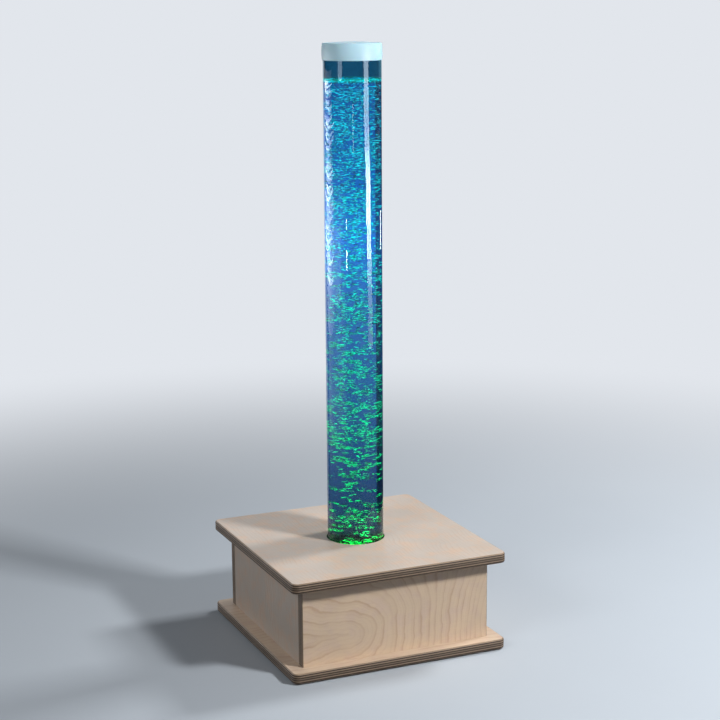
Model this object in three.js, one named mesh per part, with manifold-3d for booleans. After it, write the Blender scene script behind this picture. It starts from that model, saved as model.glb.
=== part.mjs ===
// A portable bubble tube: a clear acrylic column of water on a square birch plywood plinth.
// The plinth hides the lights, the air pump, the hoses and the drain. Units are millimetres,
// +Z is up, and the origin is on the floor under the middle of the column. The front is -Y.
import * as THREE from "three";
import { mergeVertices } from "three/addons/utils/BufferGeometryUtils.js";
import Module from "manifold-3d";

const wasm = await Module();
wasm.setup();

// Driving dimensions
const tube_diameter = 100;
const tube_wall = 3;
const tube_length = 1000;
const board_width = 400;
const board_thickness = 18;
const board_overhang = 25;
const panel_height = 140;
const foot_proud = 2;
const flange_space = 17;
const flange_thickness = 8;
const air_gap = 55;
const cap_height = 29;

// Clearance between pieces that touch, and how far a cutter runs past a face
const seat_gap = 0.3;
const cut_overrun = 1;

// Levels above the floor
const base_top = foot_proud + board_thickness;
const lid_bottom = base_top + panel_height;
const flange_bottom = base_top + flange_space;
const flange_top = flange_bottom + flange_thickness;
const tube_bottom = flange_top + seat_gap;
const tube_top = tube_bottom + tube_length;
const water_top = tube_top - air_gap;

// Distances from the middle
const box_width = board_width - 2 * board_overhang;
const tube_radius = tube_diameter / 2;
const bore_radius = tube_radius - tube_wall;
const box_half = box_width / 2;
const inner_half = box_half - board_thickness;

// How finely round shapes are divided
const tube_sides = 40;
const small_sides = 16;
const tiny_sides = 8;
const corner_steps = 3;
const arc_steps = 16;
const ease_steps = 2;
const weld_distance = 1e-4;

// Finishes, from the photograph and from what such parts are made of
const finish = (color, roughness, metalness = 0, opacity = 1) =>
  new THREE.MeshStandardMaterial({ color, roughness, metalness, opacity, transparent: opacity < 1 });
const birch_ply = finish(0xd8c0a0, 0.55);
const softwood = finish(0xcfa877, 0.7);
const clear_acrylic = finish(0xd6f0ff, 0.05, 0, 0.3);
const lit_water = finish(0x2f6fc4, 0.05, 0, 0.7);
const bubble_air = finish(0x2fd39c, 0.3, 0, 0.85);
const white_plastic = finish(0xe9f4f7, 0.35);
const black_rubber = finish(0x1b1b1c, 0.8);
const black_plastic = finish(0x222326, 0.45);
const nylon = finish(0xe6e2d6, 0.5);
const circuit_green = finish(0x1d5a3a, 0.5);
const aluminium = finish(0xb9bcc0, 0.35, 1);
const zinc_steel = finish(0xa9adb2, 0.35, 1);
const pump_plastic = finish(0x2c3f57, 0.5);
const copper_wire = finish(0xb4642d, 0.4, 1);
const dark_magnet = finish(0x3a3b3d, 0.5, 0.4);
const silicone_hose = finish(0xdfe8ea, 0.3, 0, 0.6);
const lead_jacket = finish(0x2a2b2e, 0.6);

// Solid work: three.js shapes in, three.js shapes out
function toSolid(geometry) {
  const bare = geometry.index ? geometry.toNonIndexed() : geometry.clone();
  bare.deleteAttribute("normal");
  bare.deleteAttribute("uv");
  const merged = mergeVertices(bare, weld_distance);
  const corners = [];
  const index = merged.index.array;
  for (let i = 0; i < index.length; i += 3) {
    const [a, b, c] = [index[i], index[i + 1], index[i + 2]];
    if (a !== b && b !== c && c !== a) corners.push(a, b, c);
  }
  const build = (list) =>
    new wasm.Manifold(
      new wasm.Mesh({
        numProp: 3,
        vertProperties: merged.attributes.position.array,
        triVerts: new Uint32Array(list),
      }),
    );
  const made = build(corners);
  return made.volume() < 0 ? build(corners.reverse()) : made;
}

function toGeometry(solid) {
  const mesh = solid.getMesh();
  const points = new Float32Array(mesh.numVert * 3);
  for (let i = 0; i < mesh.numVert; i++) {
    const first = i * mesh.numProp;
    points.set(mesh.vertProperties.subarray(first, first + 3), i * 3);
  }
  const shape = new THREE.BufferGeometry();
  shape.setAttribute("position", new THREE.BufferAttribute(points, 3));
  shape.setIndex(new THREE.BufferAttribute(mesh.triVerts, 1));
  const faceted = shape.toNonIndexed();
  faceted.computeVertexNormals();
  return faceted;
}

const joined = (...shapes) => toGeometry(shapes.map(toSolid).reduce((a, b) => a.add(b)));
const cut = (body, ...tools) =>
  toGeometry(tools.map(toSolid).reduce((a, b) => a.subtract(b), toSolid(body)));

// Outlines
function roundedRectangle(width, depth, radius) {
  const [x, y] = [width / 2 - radius, depth / 2 - radius];
  const outline = new THREE.Shape();
  outline.absarc(x, y, radius, 0, Math.PI / 2);
  outline.absarc(-x, y, radius, Math.PI / 2, Math.PI);
  outline.absarc(-x, -y, radius, Math.PI, 1.5 * Math.PI);
  outline.absarc(x, -y, radius, 1.5 * Math.PI, 2 * Math.PI);
  return outline;
}

function circlePoints(radius, sides) {
  const turn = (2 * Math.PI) / sides;
  return Array.from({ length: sides }, (_, i) => {
    return new THREE.Vector2(radius * Math.cos(i * turn), radius * Math.sin(i * turn));
  });
}

// Solids that stand on z = 0
function block(width, depth, height, x = 0, y = 0, z = 0) {
  return new THREE.BoxGeometry(width, depth, height).translate(x, y, z + height / 2);
}

function rod(radius, height, x = 0, y = 0, z = 0, sides = small_sides) {
  return new THREE.CylinderGeometry(radius, radius, height, sides)
    .rotateX(Math.PI / 2)
    .translate(x, y, z + height / 2);
}

function plate(outline, thickness) {
  return new THREE.ExtrudeGeometry(outline, {
    depth: thickness,
    bevelEnabled: false,
    curveSegments: corner_steps,
  });
}

function easedPlate(outline, thickness, ease) {
  return new THREE.ExtrudeGeometry(outline, {
    depth: thickness - 2 * ease,
    bevelThickness: ease,
    bevelSize: ease,
    bevelOffset: -ease,
    bevelSegments: ease_steps,
    curveSegments: corner_steps,
  }).translate(0, 0, ease);
}

function turned(profile, sides = small_sides) {
  const points = profile.map(([radius, height]) => new THREE.Vector2(radius, height));
  return new THREE.LatheGeometry(points, sides).rotateX(Math.PI / 2);
}

function ring(outer, inner, height, sides = small_sides) {
  return turned([[inner, 0], [outer, 0], [outer, height], [inner, height], [inner, 0]], sides);
}

// A loft through rings of points, which closes to a point at each end
function lofted(rings) {
  const points = rings.slice(1).flatMap((upper, k) => {
    const lower = rings[k];
    return lower.flatMap((corner, i) => {
      const next = (i + 1) % lower.length;
      return [corner, lower[next], upper[next], corner, upper[next], upper[i]];
    });
  });
  return new THREE.BufferGeometry().setFromPoints(points);
}

// A round hose or lead along points, hollow where it has a bore
function hose(points, radius, bore, steps, sides) {
  const outline = new THREE.Shape(circlePoints(radius, sides));
  if (bore > 0) outline.holes.push(new THREE.Path(circlePoints(bore, sides)));
  const path = new THREE.CatmullRomCurve3(points.map((p) => new THREE.Vector3(...p)), false, "centripetal");
  return new THREE.ExtrudeGeometry(outline, { steps, extrudePath: path, bevelEnabled: false });
}

// Turns a solid made along +Z to lie along +Y or +X
const alongY = (shape) => shape.rotateX(-Math.PI / 2);
const alongX = (shape) => shape.rotateY(Math.PI / 2);

function piece(name, geometry, material, x = 0, y = 0, z = 0) {
  const mesh = new THREE.Mesh(geometry, material);
  mesh.name = name;
  mesh.position.set(x, y, z);
  return mesh;
}

const corners = [[-1, -1], [1, -1], [1, 1], [-1, 1]];
const bubbleTube = new THREE.Group();

// Feet: rubber pads let into the underside of the base board
const foot_radius = 15;
const foot_recess = 3;
const foot_inset = 45;
const foot_chamfer = 1;
const foot_place = board_width / 2 - foot_inset;
const foot_height = foot_proud + foot_recess - seat_gap;

function foot() {
  return turned([
    [0, 0],
    [foot_radius - foot_chamfer, 0],
    [foot_radius, foot_chamfer],
    [foot_radius, foot_height],
    [0, foot_height],
  ]);
}

corners.forEach(([sx, sy], i) => {
  bubbleTube.add(piece(`foot_${i + 1}`, foot(), black_rubber, sx * foot_place, sy * foot_place));
});

// Pillars: hexagonal spacers that carry the tube's flange above the base board
const pillar_count = 3;
const pillar_circle = 66;
const pillar_across = 10;
const pillar_stud_radius = 3;
const pillar_stud_length = 11;
const pillar_places = Array.from({ length: pillar_count }, (_, i) => {
  const angle = -Math.PI / 2 + (i * 2 * Math.PI) / pillar_count;
  return [pillar_circle * Math.cos(angle), pillar_circle * Math.sin(angle)];
});

// Flange screws: button heads that clamp the flange to the pillars
const screw_radius = 2.5;
const screw_head_radius = 4.75;
const screw_head_height = 2.7;
const screw_grip = 9;
const screw_length = flange_thickness + 2 * seat_gap + screw_grip;

// Boards: lid and base of the plinth, with rounded corners and eased edges
const board_corner = 12;
const edge_ease = 3;
const grommet_thickness = 1.2;
const lid_hole_radius = tube_radius + grommet_thickness + 2 * seat_gap;

function board() {
  return easedPlate(roundedRectangle(board_width, board_width, board_corner), board_thickness, edge_ease);
}

function baseBoard() {
  const recesses = corners.map(([sx, sy]) => {
    const depth = foot_recess + cut_overrun;
    return rod(foot_radius + seat_gap, depth, sx * foot_place, sy * foot_place, -cut_overrun);
  });
  const stud_depth = pillar_stud_length + seat_gap;
  const stud_holes = pillar_places.map(([x, y]) => {
    const start = board_thickness - stud_depth;
    return rod(pillar_stud_radius + seat_gap, stud_depth + cut_overrun, x, y, start, tiny_sides);
  });
  return cut(board(), ...recesses, ...stud_holes);
}

function lidBoard() {
  const depth = board_thickness + 2 * cut_overrun;
  return cut(board(), rod(lid_hole_radius, depth, 0, 0, -cut_overrun, tube_sides));
}

bubbleTube.add(
  piece("base_board", baseBoard(), birch_ply, 0, 0, foot_proud),
  piece("lid_board", lidBoard(), birch_ply, 0, 0, lid_bottom),
);

// Side panels: front and back run the full width and cover the ends of the other two
const panel_ease = 2;
const panel_clear_height = panel_height - 2 * seat_gap;
const panel_middle = box_half - board_thickness / 2;
const side_panel_length = 2 * (inner_half - seat_gap);

// Openings in the back panel: a routed pocket leaves a thin web for the socket and the switch
const web_thickness = 4;
const pocket_margin = 21;
const pocket_height = 42;
const fitting_height = 40;
const fitting_pitch = 42;
const switch_inset = 73;
const drain_inset = 115;
const switch_x = switch_inset - box_half;
const socket_x = switch_x + fitting_pitch;
const drain_x = box_half - drain_inset;
const pocket_width = fitting_pitch + 2 * pocket_margin;
const pocket_x = (switch_x + socket_x) / 2;
const socket_radius = 5.5;
const switch_body_width = 12.4;
const switch_body_height = 27.4;
const drain_stem_radius = 7;

// Outline in plan, with the two outer edges eased
function panelOutline(width) {
  const [half, depth] = [width / 2, board_thickness];
  const outline = new THREE.Shape();
  outline.moveTo(-half, 0);
  outline.lineTo(-half, depth - panel_ease);
  outline.absarc(-half + panel_ease, depth - panel_ease, panel_ease, Math.PI, Math.PI / 2, true);
  outline.absarc(half - panel_ease, depth - panel_ease, panel_ease, Math.PI / 2, 0, true);
  outline.lineTo(half, 0);
  outline.closePath();
  return outline;
}

const fullPanel = () => plate(panelOutline(box_width), panel_clear_height);

function backPanel() {
  const through = board_thickness + 2 * cut_overrun;
  const pocket_depth = board_thickness - web_thickness + cut_overrun;
  const low = fitting_height - pocket_height / 2;
  const pocket = block(pocket_width, pocket_depth, pocket_height, pocket_x, pocket_depth / 2 - cut_overrun, low);
  const socket_hole = alongY(rod(socket_radius + seat_gap, through, 0, 0, -cut_overrun));
  const stem_hole = alongY(rod(drain_stem_radius + seat_gap, through, 0, 0, -cut_overrun));
  const [hole_width, hole_height] = [switch_body_width, switch_body_height].map((s) => s + 2 * seat_gap);
  const switch_low = fitting_height - hole_height / 2;
  const switch_hole = block(hole_width, through, hole_height, switch_x, board_thickness / 2, switch_low);
  return cut(
    fullPanel(),
    pocket,
    socket_hole.translate(socket_x, 0, fitting_height),
    stem_hole.translate(drain_x, 0, fitting_height),
    switch_hole,
  );
}

function sidePanel() {
  return block(board_thickness, side_panel_length, panel_clear_height);
}

const panels = new THREE.Group();
panels.position.z = base_top + seat_gap;
const front_panel = piece("front_panel", fullPanel().rotateZ(Math.PI), birch_ply, 0, -inner_half);
panels.add(
  front_panel,
  piece("back_panel", backPanel(), birch_ply, 0, inner_half),
  piece("left_panel", sidePanel(), birch_ply, -panel_middle),
  piece("right_panel", sidePanel(), birch_ply, panel_middle),
);

// Battens: softwood posts glued into the inside corners
const batten_width = 22;
const batten_chamfer = 6;
const batten_place = inner_half - seat_gap;

function batten(sx, sy) {
  const slope = batten_width - batten_chamfer;
  const outline = new THREE.Shape();
  outline.moveTo(0, 0);
  outline.lineTo(-batten_width, 0);
  outline.lineTo(-batten_width, -slope);
  outline.lineTo(-slope, -batten_width);
  outline.lineTo(0, -batten_width);
  outline.closePath();
  return plate(outline, panel_clear_height).rotateZ(Math.atan2(sy, sx) - Math.PI / 4);
}

corners.forEach(([sx, sy], i) => {
  const name = `corner_batten_${i + 1}`;
  panels.add(piece(name, batten(sx, sy), softwood, sx * batten_place, sy * batten_place));
});
bubbleTube.add(panels);

// Grommet: a soft ribbed ring that centres the tube in the lid
const grommet_height = 14;
const grommet_recess = 0.8;
const grommet_rib = 0.5;
const grommet_rib_count = 2;
const groove_end_share = 0;
const rib_start_share = 0.25;
const rib_end_share = 0.75;
const groove_start_share = 0.9;

function grommet() {
  const outer = lid_hole_radius - seat_gap;
  const inner = tube_radius + seat_gap;
  const pitch = grommet_height / grommet_rib_count;
  const ribs = Array.from({ length: grommet_rib_count }, (_, i) => [
    [inner + grommet_rib, (i + groove_end_share) * pitch],
    [inner, (i + rib_start_share) * pitch],
    [inner, (i + rib_end_share) * pitch],
    [inner + grommet_rib, (i + groove_start_share) * pitch],
  ]).flat();
  return turned([[outer, grommet_height], ...ribs.reverse(), [outer, 0], [outer, grommet_height]], tube_sides);
}

const lid_top = lid_bottom + board_thickness;
const grommet_bottom = lid_top - grommet_recess - grommet_height;
bubbleTube.add(piece("tube_grommet", grommet(), black_rubber, 0, 0, grommet_bottom));

// Fittings through the flange: the air nozzle in the middle, the drain beside it
const stem_radius = 4.7;
const nut_across = 16;
const nut_height = 5;
const nut_lead = 3.4;
const drain_offset = 18;
const spigot_height = 6;
const spigot_radius = bore_radius - seat_gap;
const fitting_seat = flange_top + spigot_height + seat_gap;
const nut_bottom = flange_bottom - seat_gap - nut_height;
const stem_length = fitting_seat - nut_bottom + nut_lead;

// Tube flange: clear disc solvent-welded under the tube, with a spigot inside the bore
const flange_rim = 26;
const flange_radius = tube_radius + flange_rim;
const fitting_places = [[0, 0], [drain_offset, 0]];

function flange() {
  const body = joined(
    rod(flange_radius, flange_thickness, 0, 0, 0, tube_sides),
    rod(spigot_radius, flange_thickness + spigot_height, 0, 0, 0, tube_sides),
  );
  const depth = flange_thickness + spigot_height + 2 * cut_overrun;
  const stem_holes = fitting_places.map(([x, y]) => rod(stem_radius + seat_gap, depth, x, y, -cut_overrun));
  const screw_holes = pillar_places.map(([x, y]) => {
    return rod(screw_radius + seat_gap, depth, x, y, -cut_overrun, tiny_sides);
  });
  return cut(body, ...stem_holes, ...screw_holes);
}

// The nozzle and the strainer stand in the water, inside the stream of air
const nozzle_collar_radius = 10;
const nozzle_collar_height = 2.5;
const nozzle_dome_radius = 9;
const nozzle_dome_height = 9;
const strainer_radius = 6;
const strainer_height = 4;

// Rising air: flat swarms of bubbles wander up from the nozzle, each out of the last
const swarm_count = 36;
const swarm_radius = 24;
const swarm_shrink = 6;
const swarm_wander = 9;
const swarm_waist = 9;
const swarm_lobes = 3;
const swarm_lobe_share = 0.2;
const swarm_flat_share = 0.28;
const golden_turn = Math.PI * (3 - Math.sqrt(5));
const water_height = water_top - fitting_seat;

function bubbleSwarms() {
  const start = nozzle_collar_height + nozzle_dome_height + seat_gap;
  const pitch = (water_height - start) / swarm_count;
  const way = (i) => {
    const turn = i * golden_turn;
    return new THREE.Vector2(swarm_wander * Math.cos(turn), swarm_wander * Math.sin(turn));
  };
  const level = (centre, radius, height, turn = 0) => circlePoints(1, tiny_sides).map((p) => {
    const hollow = swarm_lobe_share * Math.sin((swarm_lobes / 2) * (p.angle() + turn)) ** 2;
    const reach = radius * (1 - hollow);
    return new THREE.Vector3(centre.x + reach * p.x, centre.y + reach * p.y, height);
  });
  const middle = new THREE.Vector2();
  const rings = Array.from({ length: swarm_count }, (_, i) => {
    const turn = i * golden_turn;
    const radius = swarm_radius - swarm_shrink * Math.abs(Math.sin(turn));
    const height = start + (i + 0.5) * pitch;
    const flat = swarm_flat_share * pitch;
    return [
      level(way(i), radius, height - flat, turn),
      level(way(i), radius, height + flat, turn),
      level(way(i).lerp(way(i + 1), 0.5), swarm_waist, height + pitch / 2),
    ];
  }).flat();
  return joined(lofted([level(middle, 0, start), ...rings.slice(0, -1), level(way(swarm_count), 0, water_height)]));
}

// The water stands in the tube as a clear sleeve round the rising air
function water() {
  return ring(spigot_radius, swarm_radius + swarm_wander + seat_gap, water_height, tube_sides);
}

// The clear tube, turned as a ring of its full length
bubbleTube.add(
  piece("acrylic_tube", ring(tube_radius, bore_radius, tube_length, tube_sides), clear_acrylic, 0, 0, tube_bottom),
  piece("tube_flange", flange(), clear_acrylic, 0, 0, flange_bottom),
  piece("water_column", water(), lit_water, 0, 0, fitting_seat),
  piece("bubble_swarms", bubbleSwarms(), bubble_air, 0, 0, fitting_seat),
);

function pillar() {
  const height = flange_space - 2 * seat_gap;
  const stud = rod(pillar_stud_radius, pillar_stud_length, 0, 0, -pillar_stud_length + seat_gap, tiny_sides);
  const body = rod(pillar_across / Math.sqrt(3), height, 0, 0, 0, 6);
  const bore_depth = screw_grip + 2 * seat_gap;
  const bore = rod(screw_radius + seat_gap, bore_depth + cut_overrun, 0, 0, height - bore_depth, tiny_sides);
  return cut(joined(body, stud), bore);
}

function flangeScrew() {
  return turned([
    [0, -screw_length],
    [screw_radius, -screw_length],
    [screw_radius, 0],
    [screw_head_radius, 0],
    [screw_head_radius * 0.85, screw_head_height * 0.6],
    [screw_head_radius * 0.5, screw_head_height],
    [0, screw_head_height],
  ], tiny_sides);
}

pillar_places.forEach(([x, y], i) => {
  bubbleTube.add(
    piece(`flange_pillar_${i + 1}`, pillar(), zinc_steel, x, y, base_top + seat_gap),
    piece(`flange_screw_${i + 1}`, flangeScrew(), zinc_steel, x, y, flange_top + seat_gap),
  );
});

// Air nozzle: a domed head with a ring of jets, fed through its hollow stem
const jet_count = 10;
const jet_radius = 0.8;
const stem_bore = 2;
const chamber_radius = 5.5;
const chamber_height = 3;

function airNozzle() {
  const dome = Array.from({ length: corner_steps + 1 }, (_, i) => {
    const angle = (i / corner_steps) * (Math.PI / 2);
    const height = nozzle_collar_height + nozzle_dome_height * Math.sin(angle);
    return [nozzle_dome_radius * Math.cos(angle), height];
  });
  const body = turned([
    [0, -stem_length],
    [stem_radius, -stem_length],
    [stem_radius, 0],
    [nozzle_collar_radius, 0],
    [nozzle_collar_radius, nozzle_collar_height],
    ...dome.slice(0, -1),
    [0, nozzle_collar_height + nozzle_dome_height],
  ]);
  const bore = rod(stem_bore, stem_length + nozzle_collar_height + cut_overrun, 0, 0, -stem_length - cut_overrun, tiny_sides);
  const chamber = rod(chamber_radius, chamber_height, 0, 0, nozzle_collar_height - cut_overrun, tiny_sides);
  const jets = Array.from({ length: jet_count }, (_, i) => {
    const jet = alongX(rod(jet_radius, nozzle_collar_radius, 0, 0, 0, 6));
    const height = nozzle_collar_height - cut_overrun + chamber_height / 2;
    return jet.rotateZ((i * 2 * Math.PI) / jet_count).translate(0, 0, height + jet_radius);
  });
  return cut(body, bore, chamber, ...jets);
}

// Drain strainer: a slotted head over a hollow stem
const slot_width = 1.2;
const slot_count = 3;

function drainStrainer() {
  const body = joined(
    rod(stem_radius, stem_length + strainer_height, 0, 0, -stem_length, small_sides),
    rod(strainer_radius, strainer_height, 0, 0, 0, small_sides),
  );
  const bore = rod(stem_bore, stem_length + strainer_height / 2, 0, 0, -stem_length - cut_overrun, tiny_sides);
  const slots = Array.from({ length: slot_count }, (_, i) => {
    const slot = block(4 * strainer_radius, slot_width, strainer_height, 0, 0, strainer_height / 4);
    return slot.rotateZ((i * Math.PI) / slot_count);
  });
  return cut(body, bore, ...slots);
}

function fittingNut() {
  const hole = rod(stem_radius + seat_gap, nut_height + 2 * cut_overrun, 0, 0, -cut_overrun);
  return cut(rod(nut_across / Math.sqrt(3), nut_height, 0, 0, 0, 6), hole);
}

// Hose elbows: a socket for the stem and a barbed tail that points to the back
const elbow_radius = 7;
const elbow_height = 9;
const elbow_reach = 28;
const barb_radius = 3;
const barb_ridge = 0.2;
const barb_bore = 1.8;
const hose_radius = 4.5;
const hose_bore = barb_radius + barb_ridge + seat_gap;
const elbow_top = nut_bottom - seat_gap;
const barb_level = elbow_height * 0.4;
const hose_level = elbow_top - elbow_height + barb_level;

// A barbed tail along +Z: three saw teeth and a plain root
function barb(length) {
  const teeth = 3;
  const pitch = length / (teeth + 2);
  const profile = Array.from({ length: teeth }, (_, i) => [
    [barb_radius + barb_ridge, (i + 2) * pitch],
    [barb_radius - barb_ridge, (i + 3) * pitch - barb_ridge],
  ]).flat();
  return turned([[0, 0], [barb_radius - barb_ridge, 0], [barb_radius - barb_ridge, 2 * pitch - barb_ridge],
    ...profile, [0, length - barb_ridge]], tiny_sides);
}

function elbow() {
  const tail = alongY(barb(elbow_reach)).translate(0, 0, barb_level);
  const body = joined(rod(elbow_radius, elbow_height), tail);
  const socket_depth = nut_lead;
  const socket = rod(stem_radius + seat_gap, socket_depth + cut_overrun, 0, 0, elbow_height - socket_depth);
  const drop = rod(barb_bore, elbow_height - barb_level, 0, 0, barb_level, tiny_sides);
  const way = alongY(rod(barb_bore, elbow_reach + cut_overrun, 0, 0, 0, tiny_sides)).translate(0, 0, barb_level);
  return cut(body, socket, drop, way);
}

bubbleTube.add(
  piece("air_nozzle", airNozzle(), nylon, 0, 0, fitting_seat),
  piece("nozzle_nut", fittingNut(), nylon, 0, 0, nut_bottom),
  piece("air_elbow", elbow(), nylon, 0, 0, elbow_top - elbow_height),
  piece("drain_strainer", drainStrainer(), nylon, drain_offset, 0, fitting_seat),
  piece("drain_nut", fittingNut(), nylon, drain_offset, 0, nut_bottom),
  piece("drain_elbow", elbow(), nylon, drain_offset, 0, elbow_top - elbow_height),
);

// Lights: a horseshoe circuit board on an aluminium plate, open where the hoses pass
const light_gap_middle = Math.PI * 0.39;
const light_gap_half = Math.PI * 0.25;
const sink_outer = 48;
const sink_inner = 28;
const sink_thickness = 3;
const light_board_inset = 2;
const circuit_thickness = 1.6;
const lamp_count = 12;
const lamp_width = 5;
const lamp_height = 1.6;

function horseshoe(outer, inner) {
  const [start, end] = [light_gap_middle + light_gap_half, light_gap_middle - light_gap_half + 2 * Math.PI];
  const outline = new THREE.Shape();
  outline.absarc(0, 0, outer, start, end, false);
  outline.absarc(0, 0, inner, end, start, true);
  outline.closePath();
  return outline;
}

function arcPlate(outer, inner, thickness) {
  return new THREE.ExtrudeGeometry(horseshoe(outer, inner), {
    depth: thickness,
    bevelEnabled: false,
    curveSegments: arc_steps,
  });
}

function lightBoard() {
  const [outer, inner] = [sink_outer - light_board_inset, sink_inner + light_board_inset];
  const spread = 2 * Math.PI - 2 * light_gap_half;
  const lamps = Array.from({ length: lamp_count }, (_, i) => {
    const angle = light_gap_middle + light_gap_half + ((i + 0.5) / lamp_count) * spread;
    const lamp = block(lamp_width, lamp_width, lamp_height + circuit_thickness / 2, (outer + inner) / 2);
    return lamp.rotateZ(angle).translate(0, 0, circuit_thickness / 2);
  });
  return joined(arcPlate(outer, inner, circuit_thickness), ...lamps);
}

const sink_bottom = base_top + seat_gap;
bubbleTube.add(
  piece("light_heat_sink", arcPlate(sink_outer, sink_inner, sink_thickness), aluminium, 0, 0, sink_bottom),
  piece("light_board", lightBoard(), circuit_green, 0, 0, sink_bottom + sink_thickness + seat_gap),
);

// Cap: a white ring that slips over the tube, with a vented disc let into its top
const cap_wall = 1.5;
const cap_plate = 3.4;
const cap_round = 1.6;
const cap_chamfer = 0.6;
const cap_rim = 6;
const cap_ledge = 3;
const cap_ledge_height = 1;
const plug_depth = 6;
const plug_wall = 2.7;
const disc_recess = 0.3;
const disc_crown = 2.4;
const crown_steps = 3;
const vent_count = 12;
const vent_radius = 2.2;
const vent_circle_share = 0.8;
const cap_under = tube_top + seat_gap;
const cap_bottom = cap_under + cap_plate - cap_height;
const cap_radius = tube_radius + seat_gap + cap_wall;
const disc_radius = cap_radius - cap_rim;

function capRing() {
  const under = cap_under - cap_bottom;
  const skirt_inner = tube_radius + seat_gap;
  const plug_outer = bore_radius - seat_gap;
  const top_edge = Array.from({ length: corner_steps + 1 }, (_, i) => {
    const angle = (i / corner_steps) * (Math.PI / 2);
    const radius = cap_radius - cap_round * (1 - Math.cos(angle));
    return [radius, cap_height - cap_round * (1 - Math.sin(angle))];
  });
  const start = [skirt_inner, 0];
  return turned([
    start,
    [cap_radius - cap_chamfer, 0],
    [cap_radius, cap_chamfer],
    ...top_edge,
    [disc_radius, cap_height],
    [disc_radius, under + cap_ledge_height],
    [disc_radius - cap_ledge, under + cap_ledge_height],
    [plug_outer - plug_wall, under],
    [plug_outer - plug_wall, under - plug_depth],
    [plug_outer, under - plug_depth],
    [plug_outer, under],
    [skirt_inner, under],
    start,
  ], tube_sides);
}

function capDisc() {
  const radius = disc_radius - seat_gap;
  const thickness = cap_plate - cap_ledge_height - seat_gap - disc_recess;
  const crown = Array.from({ length: crown_steps + 1 }, (_, i) => {
    const out_share = 1 - i / crown_steps;
    return [radius * out_share, thickness + disc_crown * (1 - out_share ** 2)];
  });
  const disc = turned([[0, 0], [radius, 0], ...crown], tube_sides);
  const vents = circlePoints((disc_radius - cap_ledge) * vent_circle_share + vent_radius, vent_count);
  const depth = thickness + disc_crown + 2 * cut_overrun;
  const holes = vents.map((p) => rod(vent_radius, depth, p.x, p.y, -cut_overrun, tiny_sides));
  return cut(disc, ...holes);
}

const cap = new THREE.Group();
cap.position.z = cap_bottom;
const disc_bottom = cap_under - cap_bottom + cap_ledge_height + seat_gap;
cap.add(
  piece("cap_ring", capRing(), white_plastic),
  piece("cap_vent_disc", capDisc(), white_plastic, 0, 0, disc_bottom),
);
bubbleTube.add(cap);

// Air pump: a tray and a cover round an electromagnet that swings a sprung arm
const pump_side_gap = 8;
const pump_y = -15;
const pump_width = 62;
const pump_x = inner_half - pump_side_gap - pump_width / 2;
const pump_corner = 12;
const pump_wall = 2.5;
const pump_floor = 3;
const tray_height = 22;
const cover_round = 5;
const cover_clear = 6.4;
const pump = new THREE.Group();
pump.position.set(pump_x, pump_y, base_top + seat_gap);

// The arm hangs on a pin between two uprights, over the valve block and the diaphragm
const valve_width = 30;
const valve_height = 15.7;
const valve_gap = 16;
const nozzle_rise = 7.7;
const nozzle_out = 14;
const diaphragm_radius = 13;
const diaphragm_height = 5;
const diaphragm_wall = 1.5;
const boss_radius = 4;
const arm_thickness = 5;
const arm_width = 8;
const pivot_gap = 6;
const pivot_clear = 11.5;
const pin_radius = 1.5;
const barrel_radius = 4;
const upright_thickness = 3;
const upright_depth = 9;
const upright_gap = 10;
const magnet_thickness = 10;
const magnet_width = 14;
const magnet_height = 20;
const pole_gap = 2;
const valve_bottom = pump_floor + seat_gap;
const nozzle_level = valve_bottom + nozzle_rise;
const diaphragm_bottom = valve_bottom + valve_height + seat_gap;
const arm_bottom = diaphragm_bottom + diaphragm_height + seat_gap;
const arm_middle = arm_bottom + arm_thickness / 2;

// The laminated core is a C on edge whose poles face the magnet
const core_leg = 8;
const core_length = 22;
const core_clear = 4.5;
const coil_build = 9;
const core_height = magnet_height + 2 * core_leg;
const core_bottom = arm_middle - core_height / 2;
const pump_height = core_bottom + core_height + cover_clear + pump_wall;

// Along the pump, from the coil's end to the pivot's end
const core_span = core_clear + coil_build + core_length;
const magnet_span = pole_gap + magnet_thickness + valve_gap;
const valve_span = valve_width + pivot_gap + pivot_clear;
const pump_length = 2 * pump_wall + core_span + magnet_span + valve_span;
const pole_y = pump_wall + core_span - pump_length / 2;
const magnet_y = pole_y + pole_gap + magnet_thickness / 2;
const valve_y = pole_y + magnet_span + valve_width / 2;
const pivot_y = valve_y + valve_width / 2 + pivot_gap;
const nozzle_reach = pump_length / 2 - valve_y - valve_width / 2 + nozzle_out;

function pumpShell(height, inset, ease) {
  const outline = roundedRectangle(pump_width - 2 * inset, pump_length - 2 * inset, pump_corner - inset);
  return ease > 0 ? easedPlate(outline, height, ease) : plate(outline, height);
}

function pumpTray() {
  const hollow = pumpShell(tray_height, pump_wall, 0).translate(0, 0, pump_floor);
  const tray = cut(pumpShell(tray_height, 0, 0), hollow);
  const upright_height = arm_middle + barrel_radius + pin_radius;
  const upright_x = (upright_gap + upright_thickness) / 2;
  const uprights = [-1, 1].map((side) => {
    return block(upright_thickness, upright_depth, upright_height, side * upright_x, pivot_y);
  });
  const seat_height = core_bottom - seat_gap;
  const core_seat = block(magnet_width, core_length, seat_height, 0, pole_y - core_length / 2);
  const pin_length = upright_gap + 2 * upright_thickness + 2 * cut_overrun;
  const pin_hole = alongX(rod(pin_radius + seat_gap, pin_length, 0, 0, -pin_length / 2, tiny_sides));
  const nozzle_hole = alongY(rod(barb_radius + barb_ridge + seat_gap, 2 * pump_wall + cut_overrun, 0, 0, 0, tiny_sides));
  return cut(
    joined(tray, ...uprights, core_seat),
    pin_hole.translate(0, pivot_y, arm_middle),
    nozzle_hole.translate(0, pump_length / 2 - 2 * pump_wall, nozzle_level),
  );
}

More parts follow.
